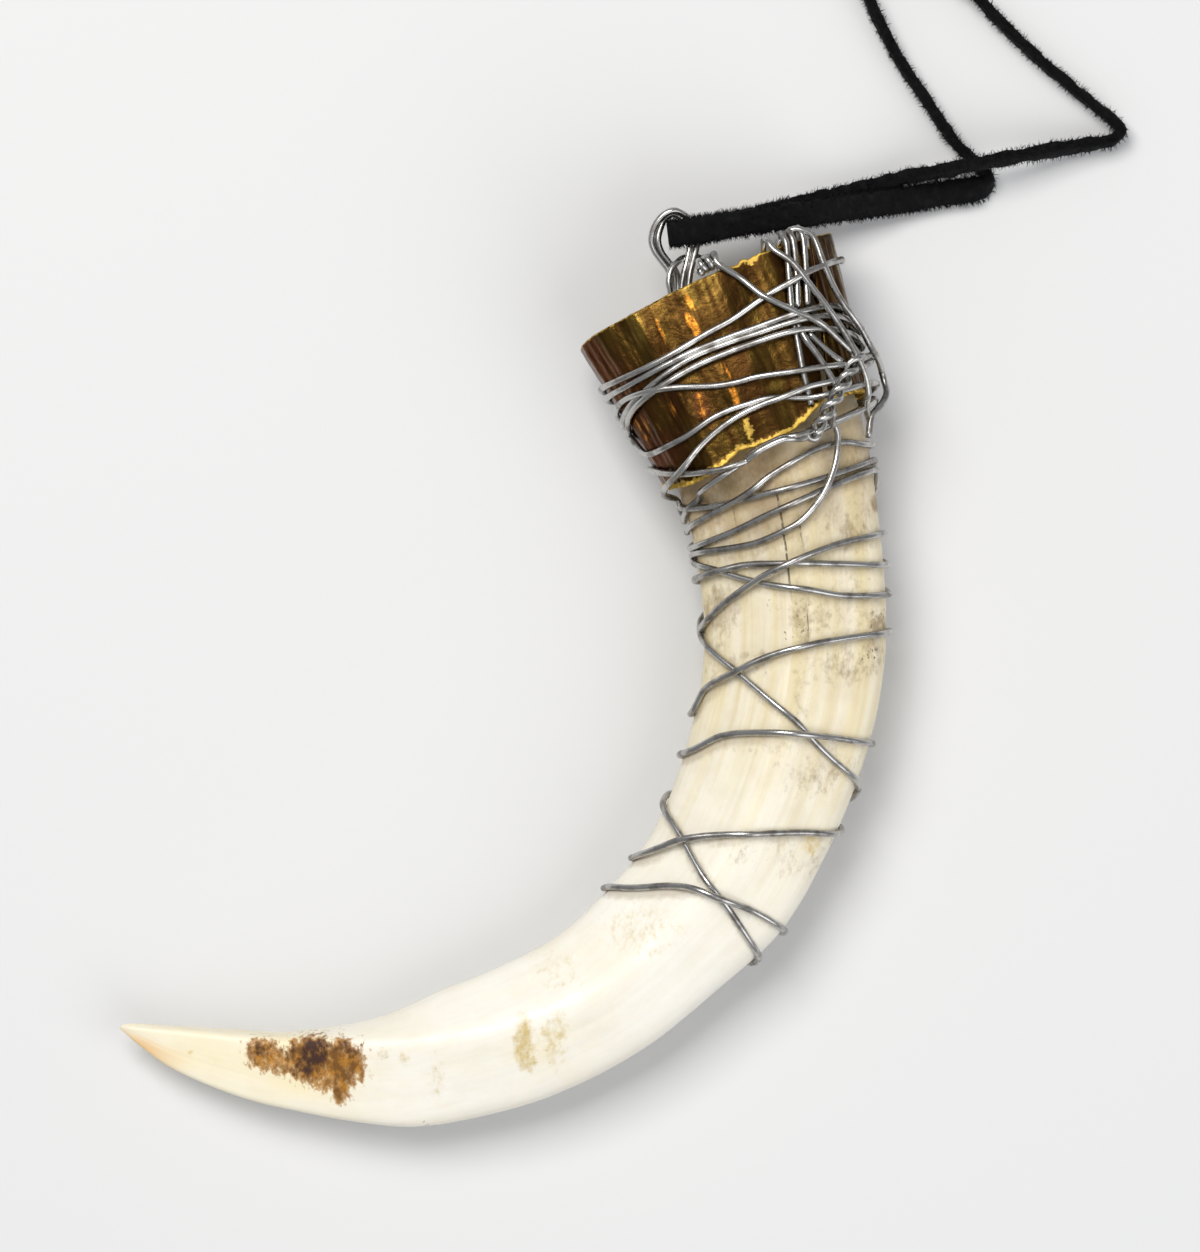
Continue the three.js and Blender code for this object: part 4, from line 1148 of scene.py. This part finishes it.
# %% Marks on the ivory
HALO_MARKS = ((305, 1062, 84, 50, 0.4), (200, 1060, 50, 22, 0.2), (535, 1042, 40, 40, 0.3))
STAIN_MARKS = ((264, 1053, 22, 18, 0.75), (282, 1063, 22, 15, 0.55), (311, 1058, 30, 28, 1.0),
               (342, 1062, 28, 30, 0.9), (341, 1088, 11, 18, 0.75), (322, 1083, 14, 11, 0.4))
DARK_MARKS = ((315, 1051, 17, 18, 0.8), (304, 1064, 14, 12, 0.65), (320, 1042, 16, 8, 0.4),
              (264, 1048, 16, 8, 0.3), (288, 1050, 12, 9, 0.2), (350, 1048, 16, 9, 0.25))
PALE_MARKS = ((524, 1040, 13, 34, 0.5), (529, 1060, 10, 14, 0.4), (554, 1034, 16, 36, 0.25),
              (385, 1052, 8, 7, 0.3), (405, 1056, 8, 10, 0.2), (438, 1076, 10, 26, 0.12),
              (152, 1062, 4, 5, 0.3), (190, 1052, 4, 4, 0.3), (810, 842, 12, 14, 0.4),
              (640, 925, 44, 30, 0.12), (560, 968, 30, 20, 0.1))
# Dirty marks, some of them painted shade next to wire crossings and near the sleeve's edge.
GRIME_AND_SHADE_MARKS = ((798, 618, 12, 46, 0.5), (797, 545, 11, 50, 0.35), (800, 700, 10, 60, 0.2),
               (760, 520, 50, 26, 0.4), (846, 520, 44, 34, 0.3), (834, 604, 54, 34, 0.2),
               (876, 624, 12, 14, 0.8), (868, 655, 18, 22, 0.5), (838, 662, 40, 24, 0.25),
               (718, 612, 24, 30, 0.45), (748, 662, 30, 14, 0.3), (826, 770, 54, 26, 0.2),
               (790, 852, 60, 24, 0.15), (874, 503, 6, 12, 1.0), (852, 470, 34, 34, 0.35),
               (712, 655, 16, 30, 0.25), (760, 742, 44, 12, 0.25))
SPECK_MARKS = ((878, 622, 14, 20, 0.8), (868, 652, 20, 18, 0.4), (842, 530, 56, 44, 0.1),
               (800, 612, 12, 40, 0.5), (786, 634, 8, 10, 0.6), (770, 604, 7, 8, 0.4),
               (430, 1122, 9, 5, 0.8), (385, 1052, 12, 10, 0.2), (545, 1035, 40, 40, 0.1))
# How far the band of painted shadow and dirt lies off the wires, in plan millimetres.
WIRE_SHADOW_SHIFT = (0.25, -0.65)


def wire_distances(piece, lines):
    """How far each point is from the nearest wire, moved a little downwards, where painted shadow falls.
    """
    points = [point for line in lines for point in line]
    tree = kdtree.KDTree(len(points))
    for i, point in enumerate(points):
        tree.insert(point, i)
    tree.balance()
    shift = Vector((WIRE_SHADOW_SHIFT[0] * MM, WIRE_SHADOW_SHIFT[1] * MM, 0))
    return [tree.find(vertex.co - shift)[2] for vertex in piece.data.vertices]


tusk_places = seen_places(tusk)
for name, spots in (("halo", HALO_MARKS), ("stain", STAIN_MARKS), ("dark", DARK_MARKS),
                    ("pale", PALE_MARKS), ("grime_and_shade", GRIME_AND_SHADE_MARKS), ("specks", SPECK_MARKS)):
    keep_field(tusk, name, tusk_places, spots)
    print(f"{name}: {len(spots)} marks")
keep_number(tusk, "wire_distance", wire_distances(tusk, [tusk_run, sleeve_run, *strand_runs]))

# %% [markdown]
# ### Ivory
# Old ivory is cream, whiter where it was rubbed, with grain along the growth. Near the sleeve it is
# tan, with dirt and with painted shade from the sleeve, and just below each wire it is darker with dirt
# and painted shadow. The ridge carries a darker band between fine cracks, and stains have soaked in
# near the worn flat. The layers are laid over each other from the palest to the darkest.

# %% The ivory material
IVORY_WHITE = (0.92, 0.89, 0.81, 1)
IVORY_CREAM = (0.79, 0.68, 0.42, 1)
IVORY_GREY = (0.60, 0.49, 0.32, 1)
# tan of dirt and of painted shade near the sleeve
IVORY_SHADE_AND_DIRT_TAN = (0.34, 0.205, 0.08, 1)
IVORY_BAND = (0.62, 0.51, 0.24, 1)
IVORY_YELLOW = (0.88, 0.73, 0.33, 1)
IVORY_AMBER = (0.80, 0.45, 0.13, 1)
# brown of dirt, and of painted shade and shadow on the ivory
GRIME_AND_SHADE_BROWN = (0.24, 0.155, 0.065, 1)
STAIN_PALE = (0.58, 0.41, 0.09, 1)
STAIN_OCHRE = (0.47, 0.205, 0.022, 1)
STAIN_UMBER = (0.17, 0.070, 0.008, 1)
STAIN_DARK = (0.050, 0.017, 0.008, 1)
SPECK_DARK = (0.060, 0.042, 0.018, 1)
# Cracks: place across, start and end along the straight tusk, half width, in millimetres.
CRACKS = ((-0.55, 25, 40, 0.07), (1.5, 29, 34, 0.06), (1.45, 40, 45, 0.04), (-6.0, 26, 30, 0.05))


def crack_mask(tree, straight, along, aside):
    """Thin broken lines along the grain."""
    wander = grain(tree, straight, 170, stretch=(0.8, 0, 0), detail=6)["Height"]
    broken = grain(tree, straight, 900, low=0.30, high=0.44, detail=3)["Mask"]
    line_place = calculate(tree, "MULTIPLY_ADD", calculate(tree, "SUBTRACT", wander, 0.5), 0.7 * MM, aside)
    total = 0.0
    for at, start, end, width in CRACKS:
        off = calculate(tree, "ABSOLUTE", calculate(tree, "SUBTRACT", line_place, at * MM))
        line = smooth_range(tree, off, width * MM, width * 2.6 * MM, 1.0, 0.0)
        begin = smooth_range(tree, along, start * MM, (start + 2) * MM)
        finish = smooth_range(tree, along, (end - 4) * MM, end * MM, 1.0, 0.0)
        line = calculate(tree, "MULTIPLY", line, calculate(tree, "MULTIPLY", begin, finish))
        total = calculate(tree, "MAXIMUM", total, line)
    return calculate(tree, "MULTIPLY", total, broken)


def make_ivory():
    material, tree, shader, straight, scene_place = new_material("ivory")
    axes = add(tree, "ShaderNodeSeparateXYZ", {0: straight}).outputs
    along, aside, up = axes[0], axes[1], axes[2]
    upper = smooth_range(tree, up, -2 * MM, 1 * MM)

    def over(colour, mask, strength, top, face=1.0):
        share = calculate(tree, "MULTIPLY", calculate(tree, "MULTIPLY", mask, strength), face)
        return blend_colour(tree, share, colour, top)

    clouds = grain(tree, straight, 150, stretch=(0.6, 1, 1), low=0.3, high=0.7)["Mask"]
    blotches = grain(tree, straight, 240, low=0.38, high=0.70, detail=8)["Mask"]
    fibres = grain(tree, straight, 1500, stretch=(0.03, 1, 1), low=0.42, high=0.75)["Mask"]
    ragged = grain(tree, scene_place, 1400, stretch=(1, 0.7, 1), detail=8)["Height"]
    smudge = grain(tree, scene_place, 420, stretch=(1, 0.6, 1), detail=8)["Height"]
    smudge = calculate(tree, "MULTIPLY", calculate(tree, "ADD", smudge, ragged), 0.5)
    specks = grain(tree, scene_place, 1900, low=0.60, high=0.68, detail=3)

    growth = grain(tree, straight, 520, stretch=(0.04, 1, 1), low=0.36, high=0.66, detail=3)["Mask"]
    root = smooth_range(tree, along, 45 * MM, 90 * MM, 0.75, 0.05)
    creamy = calculate(tree, "MULTIPLY", root, calculate(tree, "MULTIPLY_ADD", growth, 0.6, 0.7))
    creamy = calculate(tree, "MAXIMUM", creamy, calculate(tree, "MULTIPLY", clouds, 0.25))
    colour = blend_colour(tree, creamy, IVORY_WHITE, IVORY_CREAM)
    outer = smooth_range(tree, aside, -1 * MM, 3 * MM)
    colour = over(colour, blotches, calculate(tree, "MULTIPLY_ADD", root, 0.3, 0.06), IVORY_GREY)
    colour = over(colour, fibres, calculate(tree, "MULTIPLY_ADD", root, 0.3, 0.06), IVORY_GREY)
    tip = smooth_range(tree, along, (TIP - 40) * MM, (TIP - 10) * MM)
    colour = over(colour, tip, 0.28, IVORY_YELLOW)
    tip_edge = smooth_range(tree, aside, -0.2 * MM, 1.4 * MM)
    colour = over(colour, smooth_range(tree, along, (TIP - 11) * MM, (TIP - 2) * MM), 0.75, IVORY_AMBER,
                  tip_edge)

    band = calculate(tree, "MULTIPLY", smooth_range(tree, aside, -0.7 * MM, -0.4 * MM),
                     smooth_range(tree, aside, 1.2 * MM, 1.7 * MM, 1.0, 0.0))
    band = calculate(tree, "MULTIPLY", band, smooth_range(tree, along, 46 * MM, 62 * MM, 1.0, 0.0))
    colour = over(colour, band, 0.45, IVORY_BAND, upper)
    # Near the sleeve the ivory is tan: dirt, and painted shade from the sleeve.
    sleeve_shade_and_dirt = calculate(tree, "MULTIPLY_ADD", ragged, 18 * MM, along)
    sleeve_shade_and_dirt = smooth_range(tree, sleeve_shade_and_dirt, 27 * MM, 47 * MM, 1.0, 0.0)
    colour = over(colour, sleeve_shade_and_dirt, calculate(tree, "MULTIPLY_ADD", outer, -0.35, 0.85), IVORY_SHADE_AND_DIRT_TAN)
    # Just below each wire: dirt, and a painted shadow of the wire.
    wire_shadow_and_dirt = calculate(tree, "MULTIPLY_ADD", ragged, 1.2 * MM, kept(tree, "wire_distance"))
    wire_shadow_and_dirt = smooth_range(tree, wire_shadow_and_dirt, 0.9 * MM, 1.8 * MM, 1.0, 0.0)
    colour = over(colour, wire_shadow_and_dirt, 0.38, GRIME_AND_SHADE_BROWN, upper)
    # Dirty marks on the ivory, partly painted shade next to the wires and the sleeve.
    grime_and_shade = mottled(tree, "grime_and_shade", smudge, 3.4, 1.0)
    colour = over(colour, grime_and_shade, 0.75, GRIME_AND_SHADE_BROWN, upper)

    colour = over(colour, mottled(tree, "halo", clouds, 0.3, 1.0), 0.6, IVORY_YELLOW, upper)
    colour = over(colour, mottled(tree, "pale", ragged, 1.3, 0.7), 0.8, STAIN_PALE, upper)
    streaks = grain(tree, scene_place, 1100, stretch=(1, 0.6, 1), low=0.42, high=0.66, detail=8)["Mask"]
    soaked = blend_colour(tree, streaks, STAIN_UMBER, STAIN_OCHRE)
    rim = mottled(tree, "stain", ragged, 2.4, 0.45)
    colour = over(colour, rim, 0.75, STAIN_OCHRE, upper)
    stain = mottled(tree, "stain", ragged, 2.4, 0.9)
    colour = over(colour, stain, 1.0, soaked, upper)
    colour = over(colour, mottled(tree, "dark", ragged, 3.2, 0.9), 1.0, STAIN_DARK, upper)
    dots = calculate(tree, "MULTIPLY", specks["Mask"], mottled(tree, "specks", ragged, 0.6))
    colour = over(colour, dots, 0.9, SPECK_DARK, upper)
    lines = calculate(tree, "MULTIPLY", crack_mask(tree, straight, along, aside), upper)
    colour = over(colour, lines, 0.85, SPECK_DARK)

    pores = grain(tree, straight, 3000, stretch=(0.1, 1, 1), detail=3)["Height"]
    height = calculate(tree, "MULTIPLY_ADD", lines, -0.8, pores)
    bump = add(tree, "ShaderNodeBump", {"Height": height, "Strength": 0.18, "Distance": 0.1 * MM})
    dirty = calculate(tree, "MAXIMUM", grime_and_shade, stain)
    matt = calculate(tree, "MULTIPLY_ADD", clouds, 0.12, 0.33)
    tree.links.new(colour, shader.inputs["Base Color"])
    tree.links.new(calculate(tree, "MULTIPLY_ADD", dirty, 0.25, matt), shader.inputs["Roughness"])
    tree.links.new(bump.outputs["Normal"], shader.inputs["Normal"])
    shader.inputs["IOR"].default_value = 1.5
    shader.inputs["Specular IOR Level"].default_value = 0.4
    shader.inputs["Subsurface Weight"].default_value = 0.12
    shader.inputs["Subsurface Radius"].default_value = (1.0, 0.6, 0.3)
    shader.inputs["Subsurface Scale"].default_value = 1.5 * MM
    return material


ivory = make_ivory()
tusk.data.materials.append(ivory)
print(len(ivory.node_tree.nodes), "nodes in ivory")

# %% [markdown]
# ### Brass, steel and suede
# The brass is dark olive and brown in streaks that run down the sheet: partly tarnish, and partly a
# painted reflection of dark surroundings. Reddish patches are a painted reflection, and golden and
# orange streaks are painted glints. Fresh metal is bright where the edge is torn. So its colour
# follows streaked grain, chosen places and the distance from the edge. The steel is dull drawn wire
# with darker oxide patches. The suede is nearly black, very rough, and lighter where its nap catches
# light, which sheen gives.

# %% Marks on the brass
# Golden marks: painted glints and reflections on the brass.
GOLD_GLINT_MARKS = ((688, 300, 7, 24, 0.45), (708, 296, 18, 22, 0.15), (742, 262, 16, 12, 0.25),
              (660, 335, 5, 22, 0.25), (632, 330, 16, 24, 0.15), (774, 388, 14, 6, 0.3))
# Orange streaks: painted glints on the brass.
FIRE_GLINT_MARKS = ((691, 328, 5, 22, 0.6), (661, 338, 3, 18, 0.3), (723, 374, 4, 14, 0.5),
              (733, 400, 4, 14, 0.5), (687, 306, 4, 12, 0.3), (668, 408, 4, 14, 0.3),
              (698, 410, 4, 14, 0.2), (638, 428, 5, 16, 0.2))
# Reddish patches: a painted reflection of reddish surroundings on the brass.
RED_REFLECTION_MARKS = ((590, 370, 18, 50, 1.0), (622, 400, 30, 60, 0.6), (668, 405, 14, 34, 0.5),
             (700, 410, 12, 26, 0.5), (620, 470, 30, 34, 0.8), (665, 452, 24, 28, 0.6))


def on_sleeve(spots):
    """Marks moved from pixels to millimetres along and across the straight sleeve."""
    moved = []
    for px, py, wide, tall, strength in spots:
        s, angle, _ = onto_binding(from_pixel(px, py))
        across = sleeve_form(s, angle)[0]
        moved.append((s, across, tall / PIXELS_A_MM, wide / PIXELS_A_MM, strength))
    return moved


straight_rows = numpy.array(straight) / MM
upper_rows = numpy.where(straight_rows[:, 2] > 0, straight_rows[:, 0], -SLEEVE_LENGTH)
for name, spots in (("gold_glint", GOLD_GLINT_MARKS), ("fire_glint", FIRE_GLINT_MARKS), ("red_reflection", RED_REFLECTION_MARKS)):
    keep_field(sleeve, name, (upper_rows, straight_rows[:, 1]), on_sleeve(spots))
    print(f"{name}: {len(spots)} marks")

# %% Brass
# dark brass: partly tarnish, partly a painted reflection of dark surroundings
BRASS_DARK = (0.048, 0.021, 0.006, 1)
BRASS_OLIVE = (0.14, 0.082, 0.017, 1)
# reddish brown of a painted reflection
BRASS_RED_REFLECTION = (0.10, 0.030, 0.013, 1)
# golden: painted glints, and fresh metal at the torn edge
BRASS_GLINT_AND_FRESH_GOLD = (0.56, 0.37, 0.075, 1)
# orange of painted glints
BRASS_FIRE_GLINT = (0.80, 0.30, 0.035, 1)


def make_brass():
    material, tree, shader, straight, scene_place = new_material("tarnished_brass_and_painted_reflection")
    streaks = grain(tree, straight, 420, stretch=(0.12, 1, 1), low=0.38, high=0.66, detail=8)
    tarnish = grain(tree, straight, 200, stretch=(0.5, 1, 1), low=0.35, high=0.65, detail=5)["Mask"]
    ragged = grain(tree, straight, 1500, stretch=(0.3, 1, 1), detail=8)["Height"]
    worn = grain(tree, scene_place, 1300, detail=5)["Height"]
    # The dark base stands partly for tarnish and partly for a painted reflection of dark surroundings.
    base = calculate(tree, "MULTIPLY", streaks["Mask"], calculate(tree, "MULTIPLY_ADD", tarnish, 0.6, 0.4))
    colour = blend_colour(tree, base, BRASS_DARK, BRASS_OLIVE)
    # A painted reddish reflection.
    red_reflection = mottled(tree, "red_reflection", streaks["Height"], 2.4, 1.0)
    colour = blend_colour(tree, calculate(tree, "MULTIPLY", red_reflection, 0.75), colour, BRASS_RED_REFLECTION)
    # Painted golden glints.
    gold_glint = mottled(tree, "gold_glint", streaks["Height"], 1.8, 0.8)
    colour = blend_colour(tree, calculate(tree, "MULTIPLY", gold_glint, 0.5), colour, BRASS_GLINT_AND_FRESH_GOLD)
    # Painted orange glints.
    fire_glint = mottled(tree, "fire_glint", ragged, 4.4, 0.9)
    colour = blend_colour(tree, calculate(tree, "MULTIPLY", fire_glint, 0.6), colour, BRASS_FIRE_GLINT)
    edge = calculate(tree, "MULTIPLY_ADD", worn, -1.9 * MM, kept(tree, "edge"))
    bright = smooth_range(tree, edge, -0.45 * MM, -0.15 * MM, 1.0, 0.0)
    colour = blend_colour(tree, bright, colour, BRASS_GLINT_AND_FRESH_GOLD)
    rough = calculate(tree, "MULTIPLY_ADD", streaks["Mask"], -0.08, 0.34)
    rough = calculate(tree, "MULTIPLY_ADD", bright, 0.22, rough)
    height = calculate(tree, "ADD", streaks["Height"], worn)
    bump = add(tree, "ShaderNodeBump", {"Height": height, "Strength": 0.35, "Distance": 0.25 * MM})
    tree.links.new(colour, shader.inputs["Base Color"])
    tree.links.new(rough, shader.inputs["Roughness"])
    tree.links.new(bump.outputs["Normal"], shader.inputs["Normal"])
    shader.inputs["Metallic"].default_value = 1.0
    return material


brass = make_brass()
sleeve.data.materials.append(brass)
print(len(brass.node_tree.nodes), "nodes in brass")

# %% Steel and suede
STEEL_BRIGHT = (0.50, 0.49, 0.47, 1)
STEEL_DARK = (0.20, 0.185, 0.17, 1)
SUEDE_BLACK = (0.0035, 0.0036, 0.004, 1)
SUEDE_WORN = (0.012, 0.0125, 0.013, 1)


def make_steel():
    material, tree, shader, _, scene_place = new_material("drawn_steel_wire")
    oxide = grain(tree, scene_place, 420, low=0.42, high=0.70)
    colour = blend_colour(tree, oxide["Mask"], STEEL_BRIGHT, STEEL_DARK)
    rough = calculate(tree, "MULTIPLY_ADD", oxide["Mask"], 0.16, 0.25)
    tree.links.new(colour, shader.inputs["Base Color"])
    tree.links.new(rough, shader.inputs["Roughness"])
    shader.inputs["Metallic"].default_value = 1.0
    return material


def make_suede():
    material, tree, shader, _, scene_place = new_material("black_suede")
    worn = grain(tree, scene_place, 900, low=0.45, high=0.75)["Mask"]
    colour = blend_colour(tree, calculate(tree, "MULTIPLY", worn, 0.6), SUEDE_BLACK, SUEDE_WORN)
    nap_height = grain(tree, scene_place, 5200, detail=5)["Height"]
    bump = add(tree, "ShaderNodeBump", {"Height": nap_height, "Strength": 0.8, "Distance": 0.12 * MM})
    tree.links.new(colour, shader.inputs["Base Color"])
    tree.links.new(bump.outputs["Normal"], shader.inputs["Normal"])
    shader.inputs["Roughness"].default_value = 0.95
    shader.inputs["Specular IOR Level"].default_value = 0.12
    shader.inputs["Sheen Weight"].default_value = 0.02
    shader.inputs["Sheen Roughness"].default_value = 0.6
    return material


steel = make_steel()
suede = make_suede()
for piece in (tusk_winding, sleeve_winding, strands, twist, bail, neck):
    piece.data.materials.append(steel)
for piece in (lace_near, lace_far, near_nap, far_nap, lace_knot, lace_tie):
    piece.data.materials.append(suede)
print("steel on the wires, suede on the lace")

# %% [markdown]
# ## What each piece stands for
# Each fine surface takes the place of a plain solid of the model, which is hidden, and the lace's
# plain coil is hidden too.

# %% Hiding the plain solids
for piece, node, slot in (
    (tusk, "tusk", "ivory"), (sleeve, "brass_sleeve", "brass"), (tusk_winding, "binding_wire", "wire"),
    (bail, "bail", "wire"), (lace_near, "lace_near", "lace"), (lace_far, "lace_far", "lace"),
    (lace_knot, "lace_knot", "lace"), (lace_tie, "lace_tie", "lace"),
):
    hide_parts(node)
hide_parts("lace_coil")

# %% [markdown]
# ## Floor and light
# A pale plain floor and soft light keep the attention on the object. The large key light stands to
# the upper left of the view, so that the inner face of the tusk is bright and the shadow falls to
# the lower right.

# %% Floor and lights
FLOOR_SIZE = 6.0
floor = make_piece(
    "floor",
    [(-FLOOR_SIZE, -FLOOR_SIZE, 0), (FLOOR_SIZE, -FLOOR_SIZE, 0), (FLOOR_SIZE, FLOOR_SIZE, 0),
     (-FLOOR_SIZE, FLOOR_SIZE, 0)],
    [(0, 1, 2, 3)],
)
floor_material = bpy.data.materials.new("pale_floor")
floor_material.use_nodes = True
floor_shader = floor_material.node_tree.nodes["Principled BSDF"]
floor_shader.inputs["Base Color"].default_value = (0.72, 0.72, 0.72, 1)
floor_shader.inputs["Roughness"].default_value = 0.9
floor.data.materials.append(floor_material)


def area_light(name, location, size, power, colour):
    """A square soft light that faces the pendant."""
    data = bpy.data.lights.new(name, "AREA")
    data.size = size
    data.energy = power
    data.color = colour
    light = bpy.data.objects.new(name, data)
    light.location = location
    light.rotation_euler = (-Vector(location)).to_track_quat("-Z", "Y").to_euler()
    bpy.context.collection.objects.link(light)
    return light


area_light("key", (-0.24, 0.38, 0.88), 0.50, 7.6, (1.0, 0.985, 0.955))
area_light("fill", (0.55, -0.45, 0.75), 0.9, 4.6, (0.99, 0.99, 1.0))
world = bpy.data.worlds.new("studio")
world.use_nodes = True
world.node_tree.nodes["Background"].inputs["Color"].default_value = (0.92, 0.95, 1.0, 1)
world.node_tree.nodes["Background"].inputs["Strength"].default_value = 0.33
bpy.context.scene.world = world
bpy.context.scene.view_settings.view_transform = "Standard"
print("floor and lights made")

# %% Finish
print("scene ready")
